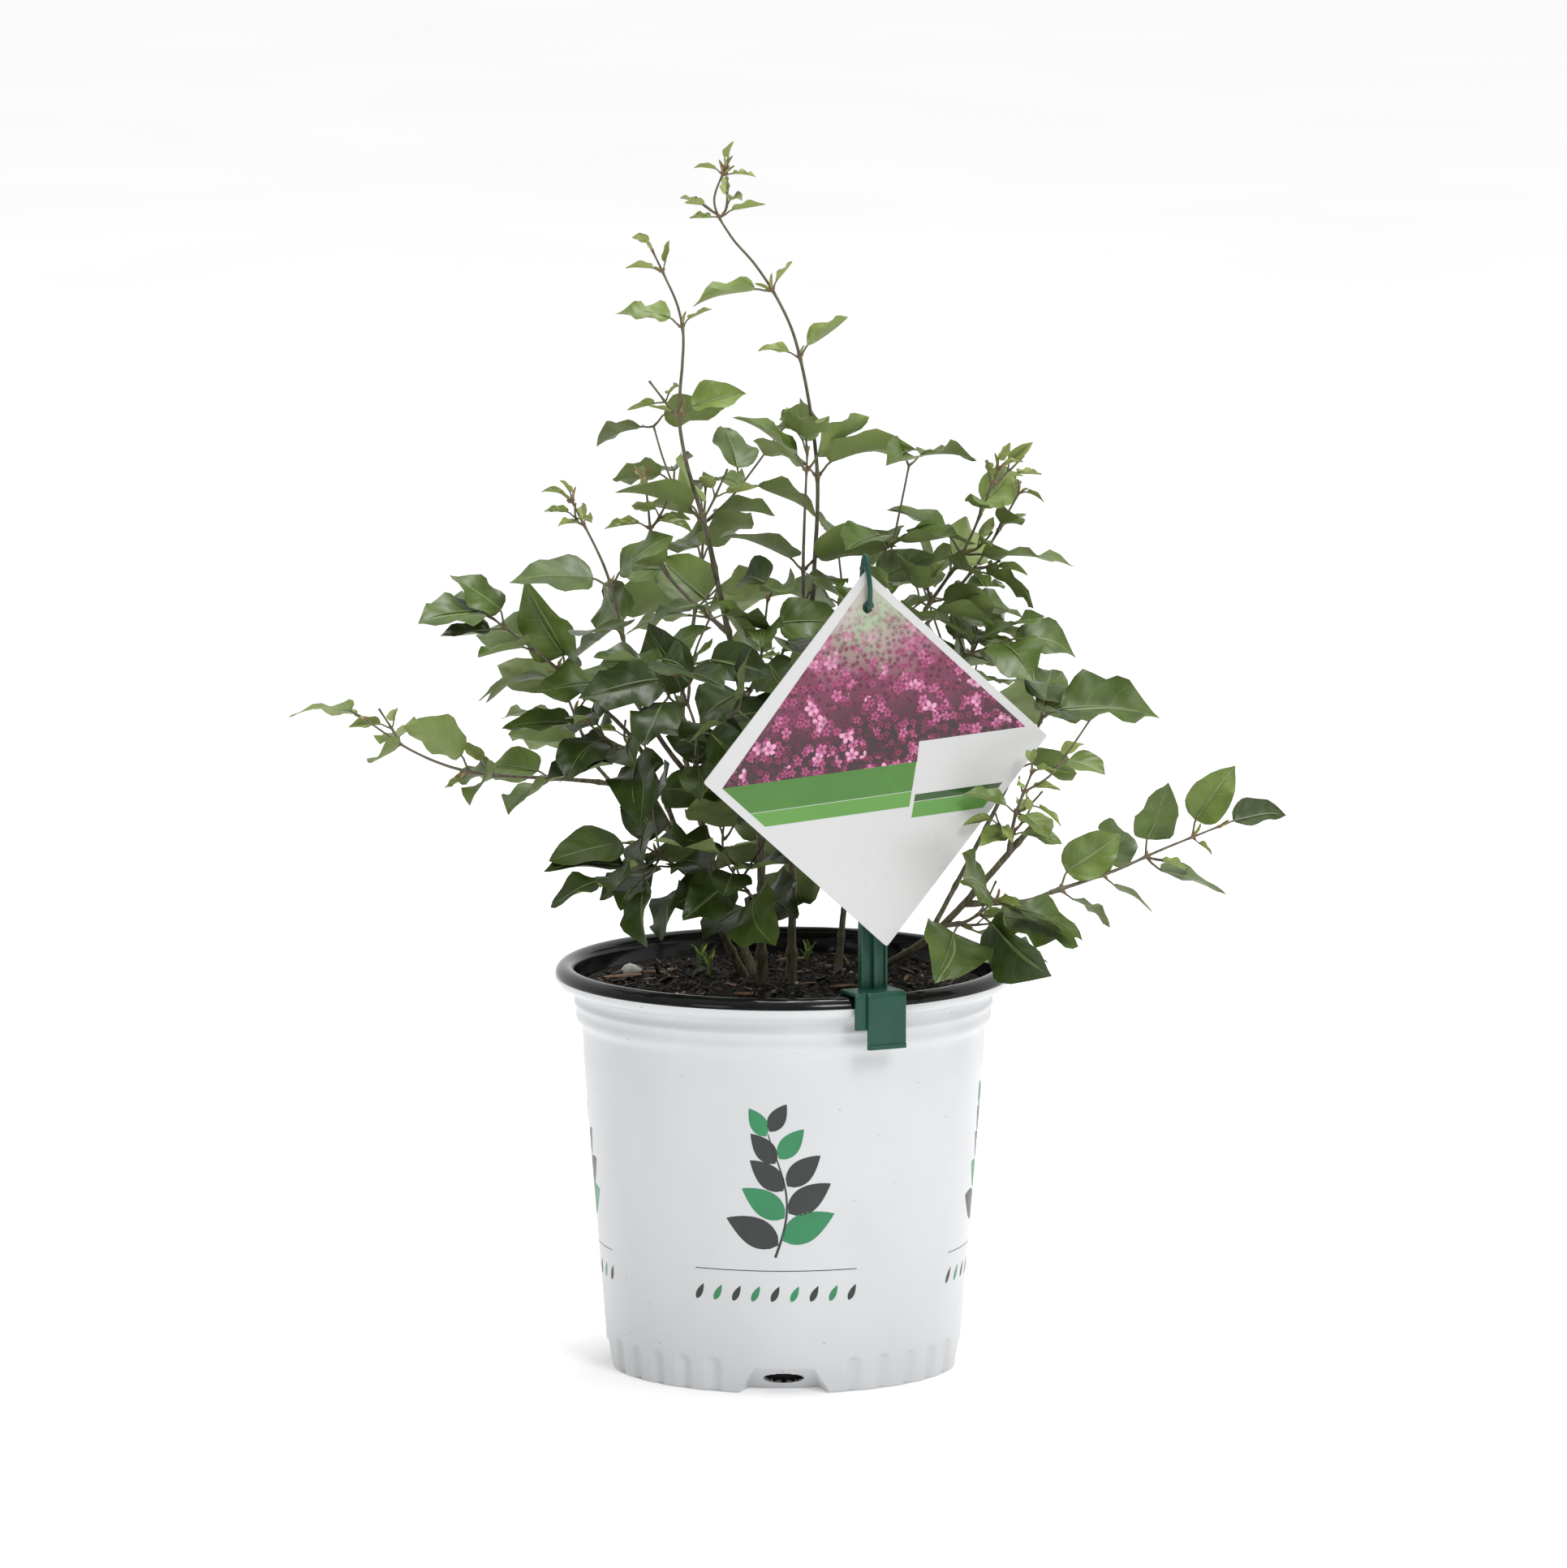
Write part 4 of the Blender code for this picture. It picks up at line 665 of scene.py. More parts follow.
# Label holder: one green plastic moulding. A saddle sits over the rim, a plate covers its front, and
# a ribbed post runs up behind the card to a thin hook, whose pin goes through the card's hole.
GAP = 0.0003
CLIP_BEARING = math.radians(25.5)
SADDLE_WIDTH = 0.027
SADDLE_ASIDE = 0.003
SKIRT = 0.016
LEG_ABOVE_SOIL = 0.002
PLATE_WIDTH = 0.021
PLATE_BOTTOM = 0.180
PLATE_THICKNESS = 0.0022
BRIDGE_THICKNESS = 0.0026
POST_WIDTH = 0.0145
POST_TOP = 0.392
POST_THICKNESS = 0.0020
WEB_TOP = 0.342
RIB_THICKNESS = 0.0024
RIB_DEPTH = 0.0083
FLANGE_THICKNESS = 0.0014
FLANGE_DEPTH = 0.0046
HOOK_ROOT = 0.012
HOOK_RADIUS = 0.0013
KNOB_RADIUS = 0.0020
CARD_SIDE = 0.135
CARD_THICKNESS = 0.0008
CARD_TURN = math.radians(3.5)
CARD_MIDDLE = 0.3265
CARD_DISTANCE = 0.1165
CARD_ASIDE = -0.0045
HOLE_RADIUS = 0.0032
HOLE_FROM_CORNER = 0.0185
POT_SIDES = 64
HOLE_SIDES = 12
# Bends of the rim's saddle, of the plate's top edge and of its lip
BENDS = (0.0035, 0.0045, 0.0010)
LIP = (0.0004, 0.0022)
# Hook: how far over the card it rises, and how far behind and before the card its wire runs
HOOK_RISE = 0.0075
HOOK_BACK = -0.0045
HOOK_FRONT = 0.0040
PIN = (-0.0022, 0.0030)


def unit(v):
    """v at length one."""
    return v / max(float(np.linalg.norm(v)), 1e-12)


def route(points, steps):
    """A smooth curve through the points: cubic pieces whose slope at each point is the chord
    between its neighbours. It is read at steps + 1 places that lie evenly along it."""
    p = np.asarray(points, float)
    slopes = np.gradient(p, axis=0) if len(p) > 2 else np.repeat(p[1:] - p[:1], 2, axis=0)
    fine = []
    for a, b, da, db in zip(p, p[1:], slopes, slopes[1:]):
        t = np.linspace(0, 1, 24, endpoint=False)[:, None]
        fine.append(
            (2 * t**3 - 3 * t**2 + 1) * a + (t**3 - 2 * t**2 + t) * da
            + (3 * t**2 - 2 * t**3) * b + (t**3 - t**2) * db
        )
    fine = np.vstack(fine + [p[-1:]])
    run = np.concatenate([[0], np.cumsum(np.linalg.norm(np.diff(fine, axis=0), axis=1))])
    at = np.linspace(0, run[-1], steps + 1)
    return np.column_stack([np.interp(at, run, fine[:, k]) for k in range(3)])


def frames(points):
    """Direction, and two square directions, at each point, carried along without twisting."""
    along = np.gradient(points, axis=0)
    along /= np.linalg.norm(along, axis=1)[:, None]
    start = np.cross(along[0], (0.0, 1.0, 0.0))
    side = unit(start if np.linalg.norm(start) > 0.1 else np.cross(along[0], (1.0, 0.0, 0.0)))
    sides = []
    for direction in along:
        side = unit(side - direction * (side @ direction))
        sides.append(side)
    sides = np.array(sides)
    return along, sides, np.cross(along, sides)


def rod(points, radii, sides, dome=0.4):
    """A round closed rod along a curve, with a low dome at each end. radii is one for each point,
    or one for each corner of each ring."""
    along, across, up = frames(points)
    angles = 2 * math.pi * np.arange(sides) / sides
    ring = np.cos(angles)[None, :, None] * across[:, None] + np.sin(angles)[None, :, None] * up[:, None]
    radii = np.asarray(radii, float)
    radii = radii[:, None] if radii.ndim == 1 else radii
    rings = points[:, None] + ring * radii[..., None]
    ends = (points[0] - along[0] * radii[0].mean() * dome, points[-1] + along[-1] * radii[-1].mean() * dome)
    return skin(rings, np.array(ends))


def label_place(points):
    """Label points, (aside, out, height), turned to the clip's bearing on the rim."""
    aside, out, height = np.moveaxis(np.asarray(points, float), -1, 0)
    sin, cos = math.sin(CLIP_BEARING), math.cos(CLIP_BEARING)
    return np.stack([aside * cos + out * sin, aside * sin - out * cos, height], -1)


def bent(corners, radius, step=0.0004):
    """A path of (out, height) through corners, each rounded by averaging over a radius's length.

    The path is run on at both ends by its own mirror image, so that its ends stay where they are.
    """
    corners = np.asarray(corners, float)
    run = np.concatenate([[0], np.cumsum(np.linalg.norm(np.diff(corners, axis=0), axis=1))])
    at = np.linspace(0, run[-1], int(run[-1] / step) + 2)
    path = np.column_stack([np.interp(at, run, corners[:, k]) for k in range(2)])
    window = 2 * int(radius / step / 2) + 1
    before = 2 * path[0] - path[1:window // 2 + 1][::-1]
    after = 2 * path[-1] - path[-window // 2:-1][::-1]
    padded = np.vstack([before, path, after])
    smooth = np.column_stack([np.convolve(padded[:, k], np.ones(window) / window, "valid") for k in range(2)])
    smooth[0], smooth[-1] = corners[0], corners[-1]
    return smooth


def strip(path, aside, half_width, half_thickness):
    """A moulded strip: a rounded rectangle carried along a path of (out, height) at the label.

    The section is a superellipse of power eight, so its corners are just softened.
    """
    run = np.gradient(path, axis=0)
    run /= np.linalg.norm(run, axis=1)[:, None]
    normal = np.column_stack([run[:, 1], -run[:, 0]])
    angle = 2 * math.pi * (np.arange(24) + 0.5) / 24
    wide = np.sign(np.cos(angle)) * np.abs(np.cos(angle)) ** 0.25
    deep = np.sign(np.sin(angle)) * np.abs(np.sin(angle)) ** 0.25
    out_height = path[:, None] + normal[:, None] * (half_thickness * deep)[None, :, None]
    across = np.broadcast_to(aside + half_width * wide, out_height.shape[:2])
    rings = label_place(np.stack([across, out_height[..., 0], out_height[..., 1]], -1))
    ends = label_place(np.column_stack([np.full(2, aside), path[[0, -1]]]))
    return skin(rings, ends)


def card_place(aside, rise, front):
    """A point of the card: distances from its middle along its own level and upright, and off its back."""
    level = CARD_ASIDE + aside * math.cos(CARD_TURN) - rise * math.sin(CARD_TURN)
    height = CARD_MIDDLE + aside * math.sin(CARD_TURN) + rise * math.cos(CARD_TURN)
    return label_place(np.stack(np.broadcast_arrays(level, CARD_DISTANCE + front, height), -1))


inside = (COLLAR_RADIUS - WALL) * math.cos(math.pi / POT_SIDES)
saddle_inner = math.sqrt(inside**2 - (SADDLE_WIDTH / 2 + SADDLE_ASIDE)**2) - 2 * GAP - PLATE_THICKNESS
saddle_outer = BEAD_RADIUS + GAP
saddle_top = POT_HEIGHT + GAP + BRIDGE_THICKNESS
inner_leg = saddle_inner + PLATE_THICKNESS / 2
outer_leg = saddle_outer + PLATE_THICKNESS / 2
over = saddle_top - BRIDGE_THICKNESS / 2
post_out = saddle_inner + RIB_DEPTH / 2
CARD_HALF = CARD_SIDE / math.sqrt(2)
HOLE_RISE = CARD_HALF - HOLE_FROM_CORNER
PIN_RISE = HOLE_RISE + HOLE_RADIUS * math.cos(math.pi / HOLE_SIDES) - HOOK_RADIUS - GAP

holder = Batch()
saddle_foot = SOIL_TOP + LEG_ABOVE_SOIL
saddle_corners = (
    (inner_leg, saddle_foot), (inner_leg, over), (outer_leg, over), (outer_leg, POT_HEIGHT - SKIRT),
)
saddle = bent(saddle_corners, BENDS[0])
holder.add(strip(saddle, -SADDLE_ASIDE, SADDLE_WIDTH / 2, PLATE_THICKNESS / 2))
plate_out = saddle_outer + 1.5 * PLATE_THICKNESS
plate_over = over + GAP
plate = bent(((plate_out - 0.007, plate_over), (plate_out, plate_over), (plate_out, PLATE_BOTTOM)), BENDS[1])
holder.add(strip(plate, 0.0, PLATE_WIDTH / 2, PLATE_THICKNESS / 2))
lip_out = plate_out + LIP[0]
lip = bent(((lip_out, PLATE_BOTTOM + LIP[1]), (lip_out, PLATE_BOTTOM)), BENDS[2])
holder.add(strip(lip, 0.0, PLATE_WIDTH / 2, PLATE_THICKNESS / 2 + LIP[0] / 2))
flange_aside = (POST_WIDTH - FLANGE_THICKNESS) / 2
for aside, half_width, depth, top in (
    (0.0, POST_WIDTH / 2, POST_THICKNESS, WEB_TOP),
    (0.0, RIB_THICKNESS / 2, RIB_DEPTH, POST_TOP),
    (-flange_aside, FLANGE_THICKNESS / 2, FLANGE_DEPTH, WEB_TOP - 0.002),
    (flange_aside, FLANGE_THICKNESS / 2, FLANGE_DEPTH, WEB_TOP - 0.002),
):
    upright = np.column_stack([np.full(30, post_out), np.linspace(saddle_top - 0.001, top, 30)])
    holder.add(strip(upright, aside, half_width, depth / 2))
wire = route([
    label_place((0.0, post_out, POST_TOP - HOOK_ROOT)),
    card_place(0.0, HOLE_RISE + 0.010, HOOK_BACK),
    card_place(0.0, CARD_HALF + HOOK_RISE, 0.0005),
    card_place(0.0, HOLE_RISE + 0.012, HOOK_FRONT),
    card_place(0.0, PIN_RISE, PIN[1]),
], 64)
holder.add(rod(wire, np.full(len(wire), HOOK_RADIUS), 12))
pin = card_place(0.0, PIN_RISE, np.linspace(*PIN, 9))
holder.add(rod(pin, np.full(9, HOOK_RADIUS * 0.96), 12))
knob_share = np.linspace(-1, 1, 9)
knob = card_place(0.0, PIN_RISE - 0.0004, PIN[1] + KNOB_RADIUS * 0.7 * knob_share)
holder.add(rod(knob, KNOB_RADIUS * np.sqrt(1.04 - knob_share**2), 14))
holder_green = finish(
    "holder_green", (0.008, 0.050, 0.032), (0.011, 0.066, 0.043), 70.0, (0.24, 0.40), relief=0.0003,
    stretch=(1, 1, 0.5), Specular_IOR_Level=0.3,
)
holder.piece("holder_moulding", (holder_green,), "holder", ("label_holder",), sharp=40.0)

# Card: a square of glossy printed plastic hung on its corner, a little askew. Inside a white border
# it has a drawn picture of pink blossom over plain green bands and bare white boxes, as ink films.
CARD_CORNER = 0.0016
BORDER = 0.0042
FILM = 0.00005
FILM_ROOT = 0.0002
PICTURE_FOOT = -0.004
PICTURE_STEP = 0.006
BOX_EDGE = 0.023
# Bands: kind of ink, top, foot, the side it runs to, and its ends at the box, above and below
BANDS = (
    (1, PICTURE_FOOT, -0.0185, -1, BOX_EDGE - 0.0010, BOX_EDGE - 0.0045),
    (2, -0.0188, -0.0262, -1, BOX_EDGE - 0.0046, BOX_EDGE - 0.0064),
    (3, -0.0205, -0.0240, 1, BOX_EDGE - 0.0028, BOX_EDGE - 0.0036),
    (2, -0.0243, -0.0320, 1, BOX_EDGE - 0.0037, BOX_EDGE - 0.0056),
)


def softened(outline, radius):
    """A convex outline with each corner rounded: an arc of Bezier points from edge to edge."""
    outline = np.asarray(outline, float)
    before, after = np.roll(outline, 1, axis=0), np.roll(outline, -1, axis=0)
    into = (before - outline) / np.linalg.norm(before - outline, axis=1)[:, None]
    away = (after - outline) / np.linalg.norm(after - outline, axis=1)[:, None]
    t = np.linspace(0, 1, 6)[None, :, None]
    start, end = (outline + into * radius)[:, None], (outline + away * radius)[:, None]
    return ((1 - t) ** 2 * start + 2 * t * (1 - t) * outline[:, None] + t**2 * end).reshape(-1, 2)


def around_hole(outline):
    """The outline's points seen from the hole's middle at many angles, and the hole's at the same.

    Each ray is crossed with every edge, and the nearest crossing ahead is kept.
    """
    centre = np.array((0.0, HOLE_RISE))
    p = outline - centre
    corner_angles = np.arctan2(p[:, 1], p[:, 0])
    angles = np.unique(np.round(np.concatenate([corner_angles, np.linspace(-math.pi, math.pi, 120)[1:]]), 6))
    ray = np.column_stack([np.cos(angles), np.sin(angles)])[:, None]
    edge = (np.roll(p, -1, axis=0) - p)[None]
    turn = ray[..., 0] * edge[..., 1] - ray[..., 1] * edge[..., 0]
    turn = np.where(np.abs(turn) < 1e-12, 1e-12, turn)
    ahead = (p[None, :, 0] * edge[..., 1] - p[None, :, 1] * edge[..., 0]) / turn
    share = (p[None, :, 0] * ray[..., 1] - p[None, :, 1] * ray[..., 0]) / turn
    ahead = np.where((ahead > 0) & (share > -1e-6) & (share < 1 + 1e-6), ahead, 1.0).min(axis=1)
    return centre + ray[:, 0] * ahead[:, None], centre + ray[:, 0] * HOLE_RADIUS


def holed_sheet(outline, back, front):
    """A flat sheet between two levels off the card's back, with the hook's hole through it."""
    rim, hole = around_hole(outline)
    flat = [(rim, back), (rim, front), (hole * 0.5 + rim * 0.5, front), (hole, front), (hole, back)]
    rings = np.array([card_place(p[:, 0], p[:, 1], level) for p, level in flat])
    return skin(rings), np.vstack([p for p, _ in flat])


def film(outline, back, front):
    """A flat patch between two levels, drawn in to its middle on both faces."""
    outline = np.asarray(outline, float)
    middle = outline.mean(axis=0)
    rings = np.array([card_place(outline[:, 0], outline[:, 1], level) for level in (back, front)])
    ends = np.array([card_place(*middle, level) for level in (back, front)])
    return skin(rings, ends), np.vstack([outline, outline, middle, middle])


def maths(tree, operation, *values, clamp=False):
    """Adds a Math node to a tree, on numbers or on other nodes' outlets, and returns its outlet."""
    return node(tree, "Math", enumerate(values), operation=operation, use_clamp=clamp)[0]


def blossom_group():
    """One layer of printed blossoms: each Voronoi cell may hold a five-petalled flower.

    The petals' edge is a base plus a lobe, |cos(5/2 angle)|, about the cell's middle. Petal is 1
    inside it, and Heart rises to 1 towards the flower's middle. Chance drops some of the flowers.
    """
    takes = {"Place": "Vector", "Scale": "Float", "Chance": "Float"}
    group, given, result = node_group("blossom", takes, ("Petal", "Heart"))
    cells = node(
        group, "TexVoronoi", {"Vector": given["Place"], "Scale": given["Scale"], "Randomness": 0.85},
        voronoi_dimensions="2D",
    )
    offset = node(group, "VectorMath", {0: given["Place"], 1: cells["Position"]}, operation="SUBTRACT")
    offset = node(group, "SeparateXYZ", {0: offset[0]})
    turned, kept, large = list(node(group, "SeparateColor", {0: cells["Color"]}))[:3]
    x = maths(group, "MULTIPLY", offset["X"], given["Scale"])
    y = maths(group, "MULTIPLY", offset["Y"], given["Scale"])
    square = maths(group, "ADD", maths(group, "MULTIPLY", x, x), maths(group, "MULTIPLY", y, y))
    radius = maths(group, "SQRT", square)
    angle = maths(group, "ADD", maths(group, "ARCTAN2", y, x), maths(group, "MULTIPLY", turned, 6.28))
    lobe = maths(group, "ABSOLUTE", maths(group, "COSINE", maths(group, "MULTIPLY", angle, 2.5)))
    lobe = maths(group, "MULTIPLY_ADD", maths(group, "POWER", lobe, 0.7), 0.31, 0.13)
    reach = maths(group, "MULTIPLY", lobe, maths(group, "MULTIPLY_ADD", large, 0.3, 0.75))
    petal = maths(group, "MULTIPLY", maths(group, "SUBTRACT", reach, radius), 26.0, clamp=True)
    petal = maths(group, "MULTIPLY", petal, maths(group, "LESS_THAN", kept, given["Chance"]))
    group.links.new(petal, result["Petal"])
    group.links.new(maths(group, "MULTIPLY_ADD", radius, -6.0, 1.25, clamp=True), result["Heart"])
    return group


# Ground of the picture, darker further down: the span of heights that each colour comes in over
DUSKS = (((0.100, 0.065), (0.20, 0.035, 0.085)), ((0.076, 0.038), (0.030, 0.010, 0.014)))
FLOWERS_THIN_OUT = (0.105, 0.060)
# Layers of flowers: flowers per metre, share of them kept, how densely they gather in heads, and the
# colours of petals and heart
FLOWERS = (
    (250.0, 0.85, 0.30, (0.100, 0.008, 0.032), (0.03, 0.002, 0.010)),
    (210.0, 0.80, 0.38, (0.190, 0.018, 0.070), (0.06, 0.005, 0.020)),
    (165.0, 0.75, 0.43, (0.330, 0.050, 0.150), (0.12, 0.009, 0.040)),
    (130.0, 0.62, 0.48, (0.460, 0.120, 0.260), (0.18, 0.020, 0.075)),
    (100.0, 0.55, 0.52, (0.640, 0.300, 0.450), (0.30, 0.050, 0.145)),
)


def blossom_finish(name):
    """Printed picture: a soft ground from pale green above to dark plum below, under layers of
    flowers from small and deep pink to large and pale, gathered in heads by a noise."""
    material = finish(name, (0.52, 0.34, 0.42), (0.30, 0.42, 0.26), 30.0, (0.16, 0.26), detail=1.0)
    tree = material.node_tree
    chart = node(tree, "UVMap", uv_map="place")["UV"]
    height = node(tree, "SeparateXYZ", {0: chart})["Y"]
    cloud = node(tree, "TexNoise", {"Vector": chart, "Scale": 28.0})["Fac"]
    depth = maths(tree, "MULTIPLY_ADD", cloud, 0.05, height)
    for span, colour in DUSKS:
        tint(material, spread(tree, depth, span), colour)
    thin = spread(tree, depth, FLOWERS_THIN_OUT)
    heads = node(tree, "TexNoise", {"Vector": chart, "Scale": 62.0, "Detail": 1.0})["Fac"]
    for scale, chance, gathered, petal_colour, heart_colour in FLOWERS:
        moved = {"Vector": chart, "Location": (scale * 0.37, scale * 0.11, 0.0)}
        place = node(tree, "Mapping", moved)["Vector"]
        layer = node(tree, "Group", {"Place": place, "Scale": scale, "Chance": chance}, node_tree=BLOSSOM)
        shown = maths(tree, "MULTIPLY", spread(tree, heads, (gathered, gathered + 0.03)), thin)
        petals = maths(tree, "MULTIPLY", layer["Petal"], shown)
        tint(material, petals, petal_colour)
        tint(material, maths(tree, "MULTIPLY", layer["Heart"], petals), heart_colour)
    return material


BLOSSOM = blossom_group()
card_white = finish(
    "card_white", (0.525, 0.53, 0.525), (0.54, 0.545, 0.54), 12.0, (0.18, 0.28), Specular_IOR_Level=0.3,
)
blossom_print = blossom_finish("blossom_print")
band_green = finish("band_green", (0.046, 0.155, 0.018), (0.056, 0.180, 0.023), 30.0, (0.18, 0.28))
leaf_band = finish("leaf_band", (0.085, 0.240, 0.038), (0.100, 0.265, 0.046), 30.0, (0.18, 0.28))
deep_band = finish("deep_band", (0.022, 0.064, 0.014), (0.028, 0.076, 0.018), 30.0, (0.18, 0.28))

card = Batch()
film_levels = (CARD_THICKNESS - FILM_ROOT, CARD_THICKNESS + FILM)
diamond = ((0.0, CARD_HALF), (-CARD_HALF, 0.0), (0.0, -CARD_HALF), (CARD_HALF, 0.0))
sheet, places = holed_sheet(softened(diamond, CARD_CORNER), 0.0, CARD_THICKNESS)
card.add(sheet, 0, places=places)
inner = CARD_HALF - BORDER * math.sqrt(2)
picture = (
    (0.0, inner), (-(inner + PICTURE_FOOT), PICTURE_FOOT), (BOX_EDGE - 0.0007, PICTURE_FOOT),
    (BOX_EDGE + 0.0010, PICTURE_STEP), (inner - PICTURE_STEP, PICTURE_STEP),
)
sheet, places = holed_sheet(np.array(picture), *film_levels)
card.add(sheet, 4, places=places)
for kind, high, low, side, box_high, box_low in BANDS:
    band = ((side * (inner + high), high), (box_high, high), (box_low, low), (side * (inner + low), low))
    patch, places = film(band, *film_levels)
    card.add(patch, kind, kind, places=places)
inks = (card_white, band_green, leaf_band, deep_band, blossom_print)
card.piece("card_sheet", inks, "card", ("label_card",), sharp=30.0)

# Stems and boughs: slim young wood, olive-grey with length-wise streaks and small pale warts. Each
# swells where a pair of leaves once stood and at its foot. One stem ends in a flat cut stub.
STEM_SIDES = 6
ROOT_FLARE = 1.45
FLARE_LENGTH = 0.012
STEM_STEPS = 10
BOUGH_STEPS = 6
FINE = 600
# Bark: corners round a limb, share of the solid limb's radius that its wood has, distance of its
# rings, height of its ridges, and the swellings along it and where it grows out of another
BARK_SIDES = 14
SLENDER = 0.71
BARK_SPACING = 0.0014
BARK_RIDGES = 0.07
BARK_WAVES = ((2, 0.031), (3, 0.019), (5, 0.011))
SWELLING = 0.30
SWELLING_LENGTH = 0.0020
SWELLINGS_FROM = (0.012, 0.030)
SWELLINGS_APART = 0.034
JUNCTION = 0.35
JUNCTION_LENGTH = 0.0035
IN_SOIL = 0.005
STUB_RADIUS = 0.0019

# Stems: foot (x, y) on the soil, the points it runs through, foot and tip radius
STEMS = {
    "stem_centre": ((-0.011, 0.007), ((-0.014, 0.002, 0.300), (-0.038, -0.012, 0.425)), 0.0034, 0.0018),
    "stem_back": ((0.004, 0.014), ((0.006, 0.022, 0.300), (0.015, 0.022, 0.393)), 0.0031, 0.0019),
    "stem_left": ((-0.021, 0.031), ((-0.048, 0.012, 0.255), (-0.066, 0.000, 0.290)), 0.0029, 0.0021),
    "stem_rear": ((0.028, 0.054), ((0.034, 0.062, 0.250), (0.043, 0.062, 0.303)), 0.0024, 0.0018),
    "stem_right": ((0.040, 0.020), ((0.078, -0.062, 0.233), (0.129, -0.085, 0.294)), 0.0030, 0.0021),
    "stem_back_left": ((-0.016, 0.046), ((-0.036, 0.070, 0.245), (-0.050, 0.084, 0.296)), 0.0028, 0.0020),
}

# Boughs: what carries it, how far along, the points it runs through, foot and tip radius
BOUGHS = {
    "bough_left":
        ("stem_centre", 0.36, ((-0.048, -0.030, 0.307), (-0.075, -0.050, 0.348)), 0.0023, 0.0016),
    "bough_left_low":
        ("stem_left", 1.0, ((-0.088, -0.010, 0.299), (-0.112, -0.019, 0.303)), 0.0020, 0.0015),
    "bough_left_shoulder":
        ("stem_left", 0.62, ((-0.072, -0.022, 0.318), (-0.106, -0.036, 0.355)), 0.0019, 0.0014),
    "bough_right_top":
        ("stem_rear", 1.0, ((0.055, 0.048, 0.345), (0.072, 0.032, 0.382)), 0.0018, 0.0014),
    "bough_right_shoulder":
        ("stem_back", 0.45, ((0.045, 0.022, 0.310), (0.078, 0.012, 0.345)), 0.0019, 0.0014),
    "bough_right_mid":
        ("stem_right", 0.48, ((0.098, -0.034, 0.272), (0.116, -0.024, 0.306)), 0.0019, 0.0014),
    "bough_right_low":
        ("stem_right", 0.66, ((0.120, -0.080, 0.250), (0.134, -0.076, 0.254)), 0.0019, 0.0015),
    "bough_back":
        ("stem_back_left", 1.0, ((-0.052, 0.090, 0.330), (-0.047, 0.090, 0.362)), 0.0019, 0.0014),
    "bough_back_right":
        ("stem_rear", 0.50, ((0.056, 0.078, 0.275), (0.078, 0.088, 0.305)), 0.0018, 0.0014),
    "bough_back_left":
        ("stem_back_left", 0.55, ((-0.074, 0.078, 0.272), (-0.098, 0.084, 0.296)), 0.0018, 0.0014),
}


def tube(points, radii, sides):
    """Corners and faces of a closed tube."""
    _, across, up = frames(points)
    angles = 2 * math.pi * np.arange(sides) / sides
    ring = np.cos(angles)[:, None, None] * across + np.sin(angles)[:, None, None] * up
    corners = points + ring * np.asarray(radii)[:, None]
    corners = corners.transpose(1, 0, 2).reshape(-1, 3)
    faces = [tuple(range(sides))[::-1]]
    for k in range(len(points) - 1):
        for a in range(sides):
            b = (a + 1) % sides
            faces.append((k * sides + a, k * sides + b, (k + 1) * sides + b, (k + 1) * sides + a))
    faces.append(tuple(range((len(points) - 1) * sides, len(points) * sides)))
    return corners, faces


class Limb:
    """A limb's centre line with its radius, which carries boughs, shoots and leaves."""

    def __init__(self, points, foot_radius, tip_radius):
        self.points = points
        share = np.linspace(0, 1, len(points))
        self.radii = foot_radius + (tip_radius - foot_radius) * share
        self.along, self.side, self.up = frames(points)
        self.sunk = 0.0

    def at(self, share):
        """Point, direction, side and up at a share of the length."""
        place = share * (len(self.points) - 1)
        k = min(int(place), len(self.points) - 2)
        t = place - k
        point, *directions = (
            rows[k] * (1 - t) + rows[k + 1] * t
            for rows in (self.points, self.along, self.side, self.up)
        )
        return point, *(unit(direction) for direction in directions)

    def radius(self, share):
        """Radius at a share of the length."""
        return float(np.interp(share, np.linspace(0, 1, len(self.radii)), self.radii))


def clear_of(limb, share, points, radius):
    """Cuts the start off a curve that begins on a carrying limb's centre line, so that its end
    ring stands one gap clear of the limb's surface, or of the flat tip if it grows on from there."""
    _, across, up = frames(points)
    angles = 2 * math.pi * np.arange(12) / 12
    ring = np.cos(angles)[:, None, None] * across + np.sin(angles)[:, None, None] * up
    ring = points + radius * ring
    if share == 1.0:
        clear = ((ring - limb.points[-1]) @ limb.along[-1]).min(axis=0)
        return points[int(np.argmax(clear >= GAP)):]
    shares = np.linspace(0, 1, FINE)
    centres = np.array([limb.at(s)[0] for s in shares])
    radii = np.array([limb.radius(s) for s in shares])
    near = range(int(0.35 * len(points)))
    clear = [(np.linalg.norm(ring[:, k, None] - centres, axis=2) - radii).min() for k in near]
    blocked = [k for k in near if clear[k] < GAP]
    return points[blocked[-1] + 1:]


def branch(limb, share, through, foot_radius, tip_radius, steps):
    """A limb that starts one gap clear of another and runs through the given points."""
    start = limb.at(share)[0]
    fine = route([start, *through], FINE)
    fine = clear_of(limb, share, fine, foot_radius)
    keep = np.linspace(0, len(fine) - 1, steps + 1).round().astype(int)
    grown = Limb(fine[keep], foot_radius, tip_radius)
    grown.sunk = float(np.linalg.norm(grown.points[0] - start))
    return grown


